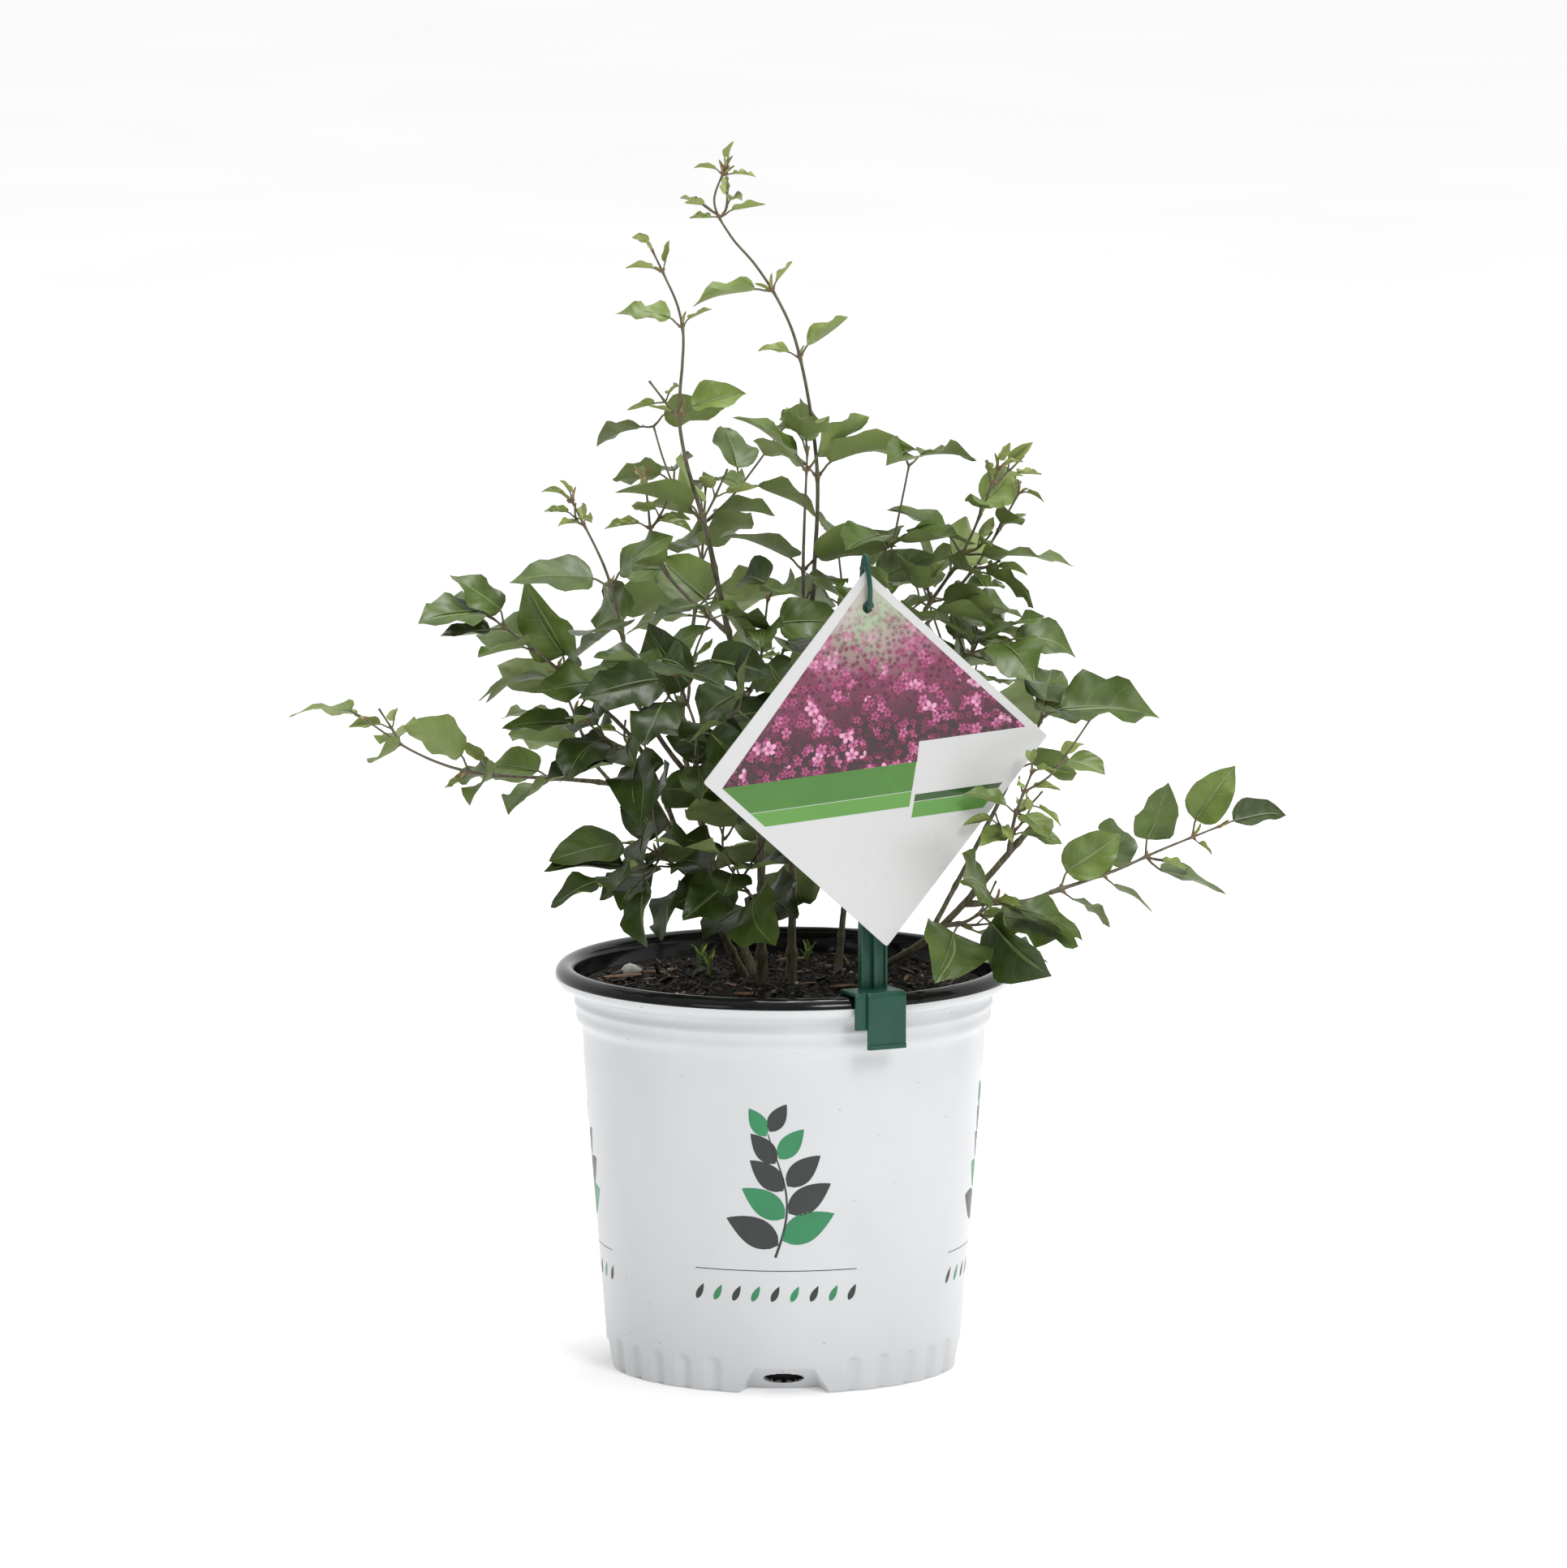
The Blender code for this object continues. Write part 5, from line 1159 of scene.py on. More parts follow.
def make_limbs():
    """Stems from the soil and the boughs that they carry."""
    limbs = {}
    for name, (foot, through, foot_radius, tip_radius) in STEMS.items():
        start = (*foot, SOIL_TOP + GAP)
        limb = Limb(route([start, *through], STEM_STEPS), foot_radius, tip_radius)
        height = limb.points[:, 2] - limb.points[0, 2]
        limb.radii *= 1 + (ROOT_FLARE - 1) * np.clip(1 - height / FLARE_LENGTH, 0, 1)
        limb.along[0] = (0, 0, 1)
        limbs[name] = limb
    for name, (carrier, share, through, foot_radius, tip_radius) in BOUGHS.items():
        limbs[name] = branch(limbs[carrier], share, through, foot_radius, tip_radius, BOUGH_STEPS)
    return limbs


def limb_skin(limb, sides, spacing, swollen, swelling, relief, random, dome=0.4, junction=JUNCTION):
    """A fine round skin for a limb, run on into what carries it.

    The radius rises by a bell curve at each swollen share of the length, and at the foot by a
    collar that dies away. Low ridges, sums of sines round the limb, wander along it.
    """
    length = float(np.linalg.norm(np.diff(limb.points, axis=0), axis=1).sum())
    path = route(limb.points, max(5, int(length / spacing)))
    share = np.linspace(0, 1, len(path))
    radii = SLENDER * np.interp(share, np.linspace(0, 1, len(limb.radii)), limb.radii)
    for place in swollen:
        radii = radii * (1 + swelling * np.exp(-((share - place) * length / SWELLING_LENGTH) ** 2))
    if limb.sunk:
        radii = radii * (1 + junction * np.exp(-share * length / JUNCTION_LENGTH))
        path = np.vstack([path[0] - unit(path[1] - path[0]) * limb.sunk, path])
        radii = np.concatenate([radii[:1], radii])
    angle = 2 * math.pi * np.arange(sides) / sides
    run = np.arange(len(path))[:, None] * spacing
    ridges = np.zeros((len(path), sides))
    for turns, pitch in BARK_WAVES:
        phase, drift = random.uniform(0, 2 * math.pi, 2)
        ridges = ridges + np.sin(turns * angle + phase + 2 * np.sin(run * 2 * math.pi / pitch + drift))
    return rod(path, radii[:, None] * (1 + relief / len(BARK_WAVES) * ridges), sides, dome)


limbs = make_limbs()
bark_random = np.random.default_rng(11)
wood = Batch()
for name, limb in limbs.items():
    length = float(np.linalg.norm(np.diff(limb.points, axis=0), axis=1).sum())
    swollen = np.arange(bark_random.uniform(*SWELLINGS_FROM), length, SWELLINGS_APART) / length
    stem = name in STEMS
    if stem:
        limb.sunk = IN_SOIL
    wood.add(limb_skin(
        limb, BARK_SIDES, BARK_SPACING, swollen, SWELLING, BARK_RIDGES, bark_random,
        dome=0.05 if stem and limb.radii[-1] > STUB_RADIUS else 0.4, junction=0.0 if stem else JUNCTION,
    ))
stem_bark = finish(
    "stem_bark", (0.050, 0.044, 0.025), (0.150, 0.132, 0.080), 900.0, (0.55, 0.8), relief=0.0006, detail=3.0,
    stretch=(1, 1, 0.15), Specular_IOR_Level=0.3,
)
specks(stem_bark, 330.0, 0.16, (0.26, 0.225, 0.15))
wood.piece("stem_bark", (stem_bark,), "bark", (*STEMS, *BOUGHS), sharp=60.0)

# Foliage: opposite pairs of soft heart-shaped leaves on thin brown shoots, each on a slender dark
# stalk, with buds and opening leaves in the axils and at the tips. Blades are folded and wavy, with a
# pale midrib and sunk side veins, and paler below. Each spray has its own green, yellower at the tip,
# darker low in and inside the crown as painted shade, and lighter high and outside as painted light.
TWIG_SIDES = 3
SHOOT_RADIUS_SHARE = 0.98
SHOOT_FOOT_RADIUS = 0.0016
SHOOT_TIP_RADIUS = 0.0007
TWIG_RADIUS = 0.0009
# Leaves: a stalk, then a blade whose stations are (share of its length, share of its width)
PETIOLE = 0.010
PETIOLE_HALF = 0.0006
LEAF_THICKNESS = 0.0009
LEAF_STATIONS = ((0.34, 1.0), (0.70, 0.66))
PLAIN_LEAF = 0.042
PLAIN_LEAF_STATIONS = ((0.42, 1.0),)
SMALL_LEAF = 0.024
LEAF_CLEARANCE = 0.0008
LEAF_TRIES = (0, 22, -22, 44, -44, 66, -66)

# Masses of foliage. on, at: what carries the shoot, and how far along it. through: the points it
# runs through. pairs: its pairs of leaves, the first at a share of its length. blades: their length
# at the foot and at the tip. turn: the first pair's turn about the shoot, in degrees. twigs: the
# share of leaf axils with a side twig, twig: its length, twig_pairs: its pairs of leaves.
# droop: how far blades may hang. Where the photograph shows a shoot against the background, nodes
# gives each of its pairs instead: share of the length, turn and lift in degrees, two blade lengths.
USUAL = dict(
    pairs=4, first=0.16, blades=(0.046, 0.034), turn=45, droop=0.45, nodes=None,
    twigs=0.5, twig=0.045, twig_pairs=2,
)
MASSES = {
    "leaves_tall_leader": dict(
        on="stem_back", at=1.0, twigs=0.0, droop=0.05,
        through=((0.017, 0.020, 0.456), (0.007, 0.012, 0.519), (-0.009, 0.008, 0.554),
                 (-0.034, 0.004, 0.588), (-0.029, 0.000, 0.612)),
        nodes=((0.25, -10, 50, 0.030, 0.050), (0.52, 5, 45, 0.018, 0.026), (0.68, 10, 40, 0.032, 0.015),
               (0.88, 5, 20, 0.013, 0.020), (0.98, -20, 30, 0.013, 0.014), (1.00, 40, 80, 0.014, 0.010)),
    ),
    "leaves_left_leader": dict(
        on="stem_centre", at=1.0, twigs=0.0, droop=0.05,
        through=((-0.052, -0.016, 0.480), (-0.051, -0.018, 0.534), (-0.066, -0.020, 0.572)),
        nodes=((0.06, 15, 72, 0.048, 0.036), (0.42, 10, 40, 0.014, 0.028), (0.72, -10, 50, 0.027, 0.016),
               (0.92, 20, 50, 0.016, 0.013), (1.00, 90, 70, 0.012, 0.011)),
    ),
    "leaves_second_leader": dict(
        on="stem_back", at=0.80, twigs=0.0, droop=0.0,
        through=((0.010, -0.001, 0.410), (0.012, 0.002, 0.466)),
        nodes=((0.45, 0, 50, 0.048, 0.048), (0.92, 10, 58, 0.044, 0.038), (1.00, 80, 60, 0.036, 0.028)),
    ),
    "leaves_left_arch": dict(
        on="bough_left", at=1.0, twigs=0.0, droop=0.15,
        through=((-0.087, -0.056, 0.408), (-0.106, -0.060, 0.450)),
        nodes=((0.05, 20, 40, 0.048, 0.046), (0.30, 80, 40, 0.046, 0.042), (0.55, 0, 45, 0.044, 0.034),
               (0.87, 60, 45, 0.016, 0.014), (1.00, 0, 70, 0.013, 0.011)),
    ),
    "leaves_left_low": dict(
        on="bough_left_low", at=1.0, twigs=0.0, droop=0.0,
        through=((-0.156, -0.025, 0.307), (-0.186, -0.029, 0.318), (-0.211, -0.030, 0.335)),
        nodes=((0.05, 70, 35, 0.036, 0.034), (0.30, -90, 30, 0.030, 0.032), (0.44, 0, 35, 0.012, 0.034),
               (0.80, 75, 10, 0.026, 0.030), (1.00, 90, 70, 0.034, 0.014)),
    ),
    "leaves_left_shoulder": dict(
        on="bough_left_shoulder", at=1.0, twigs=0.0, droop=0.1,
        through=((-0.122, -0.040, 0.369), (-0.146, -0.042, 0.388)),
        nodes=((0.10, 10, 45, 0.036, 0.044), (0.50, 80, 45, 0.038, 0.040), (0.85, 0, 50, 0.026, 0.036),
               (1.00, 90, 65, 0.038, 0.028)),
    ),
    "leaves_left_side": dict(
        on="bough_left_shoulder", at=0.55, blades=(0.044, 0.036), turn=20, twigs=0.3, droop=0.3,
        through=((-0.082, -0.052, 0.322), (-0.098, -0.062, 0.338)),
    ),
    "leaves_upper_left": dict(
        on="stem_centre", at=0.78, blades=(0.044, 0.014), turn=10, twigs=0.0, first=0.10,
        through=((-0.062, 0.010, 0.408), (-0.070, 0.006, 0.450)),
    ),
    "leaves_upper_middle": dict(
        on="stem_centre", at=0.62, blades=(0.044, 0.030), turn=40, twigs=0.6,
        through=((-0.012, -0.034, 0.364), (-0.008, -0.044, 0.398)),
    ),
    "leaves_upper_right": dict(
        on="stem_back", at=0.66, blades=(0.048, 0.030), turn=80, twigs=0.4,
        through=((0.040, -0.004, 0.385), (0.052, -0.010, 0.420)),
    ),
    "leaves_right_top": dict(
        on="bough_right_top", at=1.0, twigs=0.0, droop=0.2,
        through=((0.092, 0.026, 0.414), (0.109, 0.020, 0.456)),
        nodes=((0.06, 20, 40, 0.046, 0.044), (0.28, 95, 40, 0.044, 0.044), (0.42, -5, 30, 0.040, 0.052),
               (0.68, 80, 45, 0.030, 0.034), (0.90, 30, 50, 0.016, 0.014), (1.00, 0, 70, 0.013, 0.011)),
    ),
    "leaves_right_tip": dict(
        on="bough_right_top", at=0.72, pairs=4, blades=(0.042, 0.013), turn=60, twigs=0.0, droop=0.2,
        through=((0.098, 0.038, 0.404), (0.120, 0.036, 0.442)),
    ),
    "leaves_right_shoulder": dict(
        on="bough_right_shoulder", at=1.0, pairs=3, blades=(0.046, 0.038), turn=60, twigs=0.3, droop=0.3,
        through=((0.092, 0.002, 0.362), (0.108, -0.008, 0.370)),
    ),
    "leaves_right_mid": dict(
        on="bough_right_mid", at=1.0, twigs=0.0, droop=0.1,
        through=((0.124, -0.022, 0.320), (0.131, -0.020, 0.335)),
        nodes=((0.10, 40, 40, 0.030, 0.036), (0.85, 90, 45, 0.036, 0.038), (1.00, 0, 50, 0.040, 0.054)),
    ),
    "leaves_right_low": dict(
        on="bough_right_low", at=1.0, twigs=0.0, droop=0.0,
        through=((0.166, -0.070, 0.264), (0.190, -0.065, 0.274), (0.219, -0.060, 0.285)),
        nodes=((0.05, 0, 35, 0.034, 0.024), (0.30, -15, 30, 0.034, 0.024), (0.56, 5, 25, 0.032, 0.038),
               (0.84, 0, 30, 0.032, 0.010), (1.00, -85, 80, 0.028, 0.010)),
    ),
    "leaves_right_sprig": dict(
        on="stem_right", at=0.86, pairs=4, blades=(0.024, 0.015), turn=30, twigs=0.3, twig=0.03, twig_pairs=1,
        through=((0.116, -0.094, 0.296), (0.124, -0.098, 0.318)),
    ),
    "leaves_right_rim": dict(
        on="stem_right", at=0.56, pairs=3, blades=(0.048, 0.042), turn=30, twigs=0.4, droop=0.2,
        through=((0.092, -0.080, 0.240), (0.106, -0.092, 0.252)),
    ),
    "leaves_left_foot": dict(
        on="stem_left", at=0.50, blades=(0.044, 0.036), turn=50, twigs=0.5, droop=0.35,
        through=((-0.058, -0.026, 0.262), (-0.072, -0.046, 0.274)),
    ),
    "leaves_middle_foot": dict(
        on="stem_centre", at=0.16, blades=(0.048, 0.040), turn=20, twigs=0.4, droop=0.35,
        through=((-0.020, -0.042, 0.252), (-0.024, -0.066, 0.266)),
    ),
    "leaves_middle_front": dict(
        on="bough_left", at=0.45, blades=(0.046, 0.036), turn=65, twigs=0.6,
        through=((-0.044, -0.060, 0.334), (-0.054, -0.078, 0.364)),
    ),
    "leaves_centre": dict(
        on="stem_centre", at=0.44, blades=(0.046, 0.036), turn=15, twigs=0.4,
        through=((-0.008, -0.036, 0.312), (-0.014, -0.062, 0.330)),
    ),
    "leaves_back": dict(
        on="bough_back", at=1.0, blades=(0.046, 0.026), turn=25,
        through=((-0.042, 0.094, 0.400), (-0.040, 0.102, 0.436)),
    ),
    "leaves_back_right": dict(
        on="bough_back_right", at=1.0, blades=(0.046, 0.034), turn=45,
        through=((0.090, 0.088, 0.332), (0.099, 0.088, 0.360)),
    ),
    "leaves_back_left": dict(
        on="bough_back_left", at=1.0, blades=(0.046, 0.030), turn=70,
        through=((-0.106, 0.090, 0.316), (-0.116, 0.098, 0.340)),
    ),
    "leaves_back_upper": dict(
        on="stem_rear", at=0.85, blades=(0.046, 0.030), turn=0, twigs=0.4,
        through=((0.034, 0.092, 0.350), (0.028, 0.104, 0.404)),
    ),
    "leaves_back_foot": dict(
        on="stem_rear", at=0.34, pairs=3, blades=(0.046, 0.038), turn=35, twigs=0.4,
        through=((0.020, 0.082, 0.246), (0.016, 0.096, 0.262)),
    ),
}


def leaf_solid(root, stalk, direction, face, length, width, arch, petiole, margin=0.0):
    """Corners and faces of one leaf: a straight three-sided stalk, then an arched blade.

    The blade's sections are a left edge, a right edge and a keel below. They lie on a curve that
    starts along its direction and bends away from its face: foot + d s - face arch s^2 / length.
    With a margin it is the blade alone, that much larger all round.
    """
    across = np.cross(direction, face)
    foot = root + stalk * petiole
    stations = LEAF_STATIONS if length > PLAIN_LEAF else PLAIN_LEAF_STATIONS
    rows = [(foot, PETIOLE_HALF)] if margin or length > SMALL_LEAF else []
    for share, half in stations:
        s = share * length
        rows.append((foot + direction * s - face * arch * s * s / length, half * width / 2))
    if not margin:
        rows.insert(0, (root, PETIOLE_HALF))
    corners = []
    for middle, half in rows:
        edge = across * (half + margin)
        corners += [
            middle - edge + face * margin,
            middle + edge + face * margin,
            middle - face * (LEAF_THICKNESS + margin),
        ]
    end = length + margin
    corners.append(foot + direction * end - face * arch * end)
    faces = [(0, 1, 2)]
    for k in range(len(rows) - 1):
        a, b = 3 * k, 3 * k + 3
        for i in range(3):
            j = (i + 1) % 3
            faces.append((a + j, a + i, b + i, b + j))
    last = 3 * (len(rows) - 1)
    faces += [(last + (i + 1) % 3, last + i, len(corners) - 1) for i in range(3)]
    return np.array(corners), faces


class Space:
    """The solids that are already placed, to test a new twig or leaf against."""

    def __init__(self):
        self.placed = []

    def measure(self, corners, faces):
        """Middle and reach of a solid, and a tree of its faces."""
        corners = np.asarray(corners)
        middle = (corners.min(0) + corners.max(0)) / 2
        reach = float(np.linalg.norm(corners - middle, axis=1).max())
        return middle, reach, BVHTree.FromPolygons([Vector(c) for c in corners], faces)

    def add(self, corners, faces, owner=None):
        self.placed.append((*self.measure(corners, faces), owner))

    def free(self, corners, faces, but_for=None):
        """Whether a solid's faces cross no placed solid, leaving out those of one owner."""
        middle, reach, tree = self.measure(corners, faces)
        for other_middle, other_reach, other, owner in self.placed:
            if but_for is not None and owner == but_for:
                continue
            if np.linalg.norm(middle - other_middle) < reach + other_reach and tree.overlap(other):
                return False
        return True


def turned_about(v, axis, angle):
    """v turned about a unit axis, right-handed."""
    sin, cos = math.sin(angle), math.cos(angle)
    return v * cos + np.cross(axis, v) * sin + axis * (axis @ v) * (1 - cos)


class Foliage:
    """Grows one mass: a shoot with pairs of leaves, each pair turned a quarter from the last, and
    side twigs from some of the leaf axils. What would touch something is turned, then skipped."""

    def __init__(self, name, space, droop, seed):
        self.name = name
        self.space = space
        self.droop = droop
        self.random = np.random.default_rng(seed)
        self.leaves = []
        self.twigs = []
        self.axils = []

    def place(self, solid):
        """Adds a solid to the space that later growth keeps clear of."""
        self.space.add(*solid, self.name)

    def leaf(self, root, axis, side, length, lift):
        """One leaf: its stalk leaves the twig at a slant, and its blade turns level and outward."""
        random = self.random
        lift = math.radians(lift)
        droop = random.uniform(0.0, self.droop)
        width = length * random.uniform(0.60, 0.76)
        arch = random.uniform(0.05, 0.35)
        lean = random.normal(0, 0.28, 3)
        petiole = PETIOLE * min(1.0, 0.25 + length / 0.05)
        outward = np.array((root[0], root[1], 0.0))
        outward /= max(np.linalg.norm(outward), 0.04)
        for extra in LEAF_TRIES:
            out = turned_about(side, axis, math.radians(extra))
            stalk = unit(out * math.cos(lift) + axis * math.sin(lift))
            level = np.array((stalk[0], stalk[1], 0.0)) + 0.4 * outward
            direction = unit(0.6 * stalk + 0.6 * level + 0.4 * lean - np.array((0, 0, droop)))
            face = np.array((0, 0, 0.8)) + 0.55 * outward + lean
            face = unit(face - direction * (face @ direction))
            shape = (root, stalk, direction, face, length, width, arch, petiole)
            tested = route([root + stalk * GAP, root + stalk * (petiole + 0.002)], 1)
            tested = tube(tested, [2 * PETIOLE_HALF + LEAF_CLEARANCE] * 2, TWIG_SIDES)
            if self.space.free(*leaf_solid(*shape, LEAF_CLEARANCE)) and self.space.free(*tested, self.name):
                self.place(leaf_solid(*shape))
                self.leaves.append(shape)
                return

    def shoot(self, limb, nodes):
        """Pairs of leaves along a limb. Returns the axils as (share, side)."""
        axils = []
        for share, turn, lift, *blades in nodes:
            root, axis, side, up = limb.at(share)
            angle = math.radians(turn)
            out = side * math.cos(angle) + up * math.sin(angle)
            for sign, length in zip((1, -1), blades):
                self.leaf(root, axis, out * sign, length, lift)
                axils.append((share, out * sign))
        return axils

    def usual_nodes(self, pairs, first, turn, long, short):
        """Nodes that stand closer towards the tip, each turned a quarter, with smaller blades."""
        uniform = self.random.uniform
        nodes = []
        for k in range(pairs):
            part = k / max(pairs - 1, 1)
            share = first + (1 - first) * part**0.86
            size = long + (short - long) * part**0.8
            nodes.append((
                share, turn + 90 * k + uniform(-14, 14), uniform(25, 55),
                size * uniform(0.86, 1.14), size * uniform(0.86, 1.14),
            ))
        return nodes

    def twig(self, limb, share, side, length, pairs, leaf_length):
        """A side twig with its leaves, bent upwards. It is left out if it would touch something."""
        root, axis, _, _ = limb.at(share)
        direction = unit(side * 0.8 + axis * 0.6 + np.array((0, 0, 0.25)))
        bend = self.random.normal(0, 0.15, 3) + np.array((0, 0, 0.2))
        tip = root + (direction + bend) * length
        points = route([root, root + direction * length * 0.5, tip], 3)
        wide = np.full(len(points), TWIG_RADIUS + LEAF_CLEARANCE)
        if not self.space.free(*tube(points[1:], wide[1:], TWIG_SIDES)):
            return
        if not self.space.free(*tube(points, wide, TWIG_SIDES), self.name):
            return
        side_limb = Limb(points, TWIG_RADIUS, SHOOT_TIP_RADIUS)
        self.place(tube(side_limb.points, side_limb.radii, TWIG_SIDES))
        self.twigs.append(side_limb)
        turn = self.random.uniform(0, 180)
        self.shoot(side_limb, self.usual_nodes(pairs, 0.45, turn, leaf_length, leaf_length * 0.75))


def start_mass(name, plan, limbs, space, seed):
    """A mass with its shoot alone, so that every other mass keeps clear of it."""
    limb = limbs[plan["on"]]
    foot_radius = min(limb.radius(plan["at"]) * SHOOT_RADIUS_SHARE, SHOOT_FOOT_RADIUS)
    steps = 2 * len(plan["nodes"] or range(plan["pairs"]))
    main = branch(limb, plan["at"], plan["through"], foot_radius, SHOOT_TIP_RADIUS, steps)
    foliage = Foliage(name, space, plan["droop"], seed)
    foliage.place(tube(main.points, main.radii, TWIG_SIDES))
    return foliage, main


def fill_mass(foliage, main, plan):
    """Puts the leaves and the side twigs on a mass's shoot."""
    long, short = plan["blades"]
    usual = foliage.usual_nodes(plan["pairs"], plan["first"], plan["turn"], long, short)
    foliage.axils = foliage.shoot(main, plan["nodes"] or usual)
    for share, side in foliage.axils[:-2]:
        if foliage.random.random() < plan["twigs"]:
            length = plan["twig"] * foliage.random.uniform(0.75, 1.2)
            foliage.twig(main, share, side, length, plan["twig_pairs"], long * 0.85)


# Small twigs besides those of the rule: how often, how long, and the length of their leaves
TWIGLET_SHARE = 0.5
TWIGLET_LENGTH = (0.010, 0.020)
TWIGLET_LEAF = 0.017

# Blades: thickness, size against the rule's leaf for a grown one and a young one, and where a blade
# is widest and where its tip starts. Full ones differ in growth.
BLADE = 0.00034
YOUNG_LEAF = 0.021
FULL_LEAF = 0.034
GROWN = (0.80, 1.0)
BLADE_REACH = 0.985
BLADE_WIDTH = 1.10
YOUNG_REACH = 0.86
YOUNG_WIDTH = 0.66
WIDEST = 0.37
TIP_FROM = 0.74
# How blades differ: fold in degrees, sway, twist and curl against their length, waves of the margin
# and the height of these against the width
FOLD = (2, 32)
YOUNG_FOLD = (25, 45)
SWAY = 0.045
TWIST = 0.32
CURL = (-0.02, 0.13)
WAVES = (1.2, 2.6)
RUFFLE = (0.04, 0.16)
# Stations of a blade's corners along it and across it, those below its surface, and their kinds of
# face: 0 above, 1 below, 2 midrib
ALONG = np.array((0.0, 0.03, 0.09, 0.18, 0.28, 0.39, 0.50, 0.62, 0.74, 0.85, 0.94))
ACROSS = np.array((-1.0, -0.5, -0.03, 0.03, 0.5, 1.0, 0.5, 0.0, -0.5))
UNDER = np.array((0.0, 0.0, 0.0, 0.0, 0.0, 0.0, 1.0, 1.0, 1.0))
BLADE_KINDS = np.array((0, 0, 2, 0, 0, 1, 1, 1, 1))
# Span of a vein line's edge, where veins stand one apart
VEIN_EDGE = (0.042, 0.008)
# Stalks: radii from the shoot to the blade and on under it, where their second kind of face begins
STALK_RADII = np.concatenate([(0.00085, 0.00066, 0.00062), np.linspace(0.00056, 0.00020, 9)])
STALK_SIDES = 5
STALK_KINDS = np.repeat((0, 1), (3 * STALK_SIDES, 8 * STALK_SIDES))
# Opening leaves: how many axils have one, their lengths, stations, and share that is flushed red.
# One shoot ends in a larger flushed pair.
OPENING = 0.4
OPENING_LENGTH = (0.0055, 0.0095)
OPENING_ALONG = np.array((0.0, 0.15, 0.38, 0.62, 0.84))
OPENING_ACROSS = np.array((-1.0, 0.0, 1.0, 0.0))
OPENING_HALF = 0.19
OPENING_FOLD = math.radians(50)
OPENING_BEND = 0.14
FLUSHED = 0.4
FLUSHED_SHOOT = "leaves_upper_left"
FLUSHED_LEAF = 0.0115
OPENING_LEAN = (0.25, 0.60)
OPENING_ASIDE = 0.0006
# Shoots and twigs: corners round them, distance of their rings, their swelling at each pair of
# leaves and the height of their ridges. Buds: length, and half width against it.
SHOOT_SKIN = dict(sides=8, spacing=0.0012, swelling=0.5, relief=0.04)
TWIG_SKIN = dict(sides=6, spacing=0.0018, swelling=0.35, relief=0.03)
LAST_AXIL = 0.995
BUD_LENGTH = (0.0018, 0.0032)
BUD_HALF = 0.32
# Greens from darkest to lightest, the last for young leaves, each spray's own, and how many of its
# leaves are one step lighter or darker. A spray's own green is partly its leaves' age and partly
# painted shade and light: sprays low in and inside the crown get darker greens for the shade that
# falls there, and upper, outer sprays get lighter greens for the light they catch.
TONES = ("deep", "mature", "bright", "fresh", "young")
LIGHTER = 0.22
DARKER = 0.18
SPRAY_GREEN_AND_SHADE = {
    "leaves_tall_leader": 3, "leaves_left_leader": 3, "leaves_second_leader": 2, "leaves_left_arch": 1,
    "leaves_left_low": 2, "leaves_left_shoulder": 1, "leaves_left_side": 0, "leaves_upper_left": 2,
    "leaves_upper_middle": 1, "leaves_upper_right": 1, "leaves_right_top": 2, "leaves_right_tip": 2,
    "leaves_right_shoulder": 1, "leaves_right_mid": 1, "leaves_right_low": 1, "leaves_right_sprig": 2,
    "leaves_right_rim": 1, "leaves_left_foot": 0, "leaves_middle_foot": 0, "leaves_middle_front": 0,
    "leaves_centre": 0, "leaves_back": 1, "leaves_back_right": 1, "leaves_back_left": 0,
    "leaves_back_upper": 1, "leaves_back_foot": 0,
}


def vein_group():
    """Side veins on a blade's chart, whose x runs across from -1 to 1 and y along from 0 to 1.

    Vein lines are where 4 y - 0.6 |x| - 0.7 x^2 is whole. Mask is 1 on them, and Height is 0 on
    them and 0.5 half-way between two.
    """
    group, given, result = node_group("veins", {"Chart": "Vector"}, ("Mask", "Height"))
    chart = node(group, "SeparateXYZ", {0: given["Chart"]})
    away = maths(group, "ABSOLUTE", chart["X"])
    dip = maths(group, "MULTIPLY", away, maths(group, "MULTIPLY_ADD", away, 0.7, 0.6))
    line = maths(group, "SUBTRACT", maths(group, "MULTIPLY", chart["Y"], 4.0), dip)
    height = maths(group, "PINGPONG", line, 0.5)
    group.links.new(spread(group, height, VEIN_EDGE), result["Mask"])
    group.links.new(height, result["Height"])
    return group


VEINS = vein_group()


def leaf_finish(name, dark, light, roughness, vein, veined, sunk):
    """A blade's finish: mottled green with side veins, tinted by a share and sunk or raised."""
    material = finish(name, dark, light, 60.0, roughness, detail=3.0, Specular_IOR_Level=0.35)
    tree = material.node_tree
    chart = node(tree, "UVMap", uv_map="place")["UV"]
    veins = node(tree, "Group", {"Chart": chart}, node_tree=VEINS)
    tint(material, maths(tree, "MULTIPLY", veins["Mask"], veined), vein)
    bump = node(tree, "Bump", {"Distance": sunk, "Height": veins["Height"]})
    tree.links.new(bump["Normal"], tree.nodes["Principled BSDF"].inputs["Normal"])
    return material


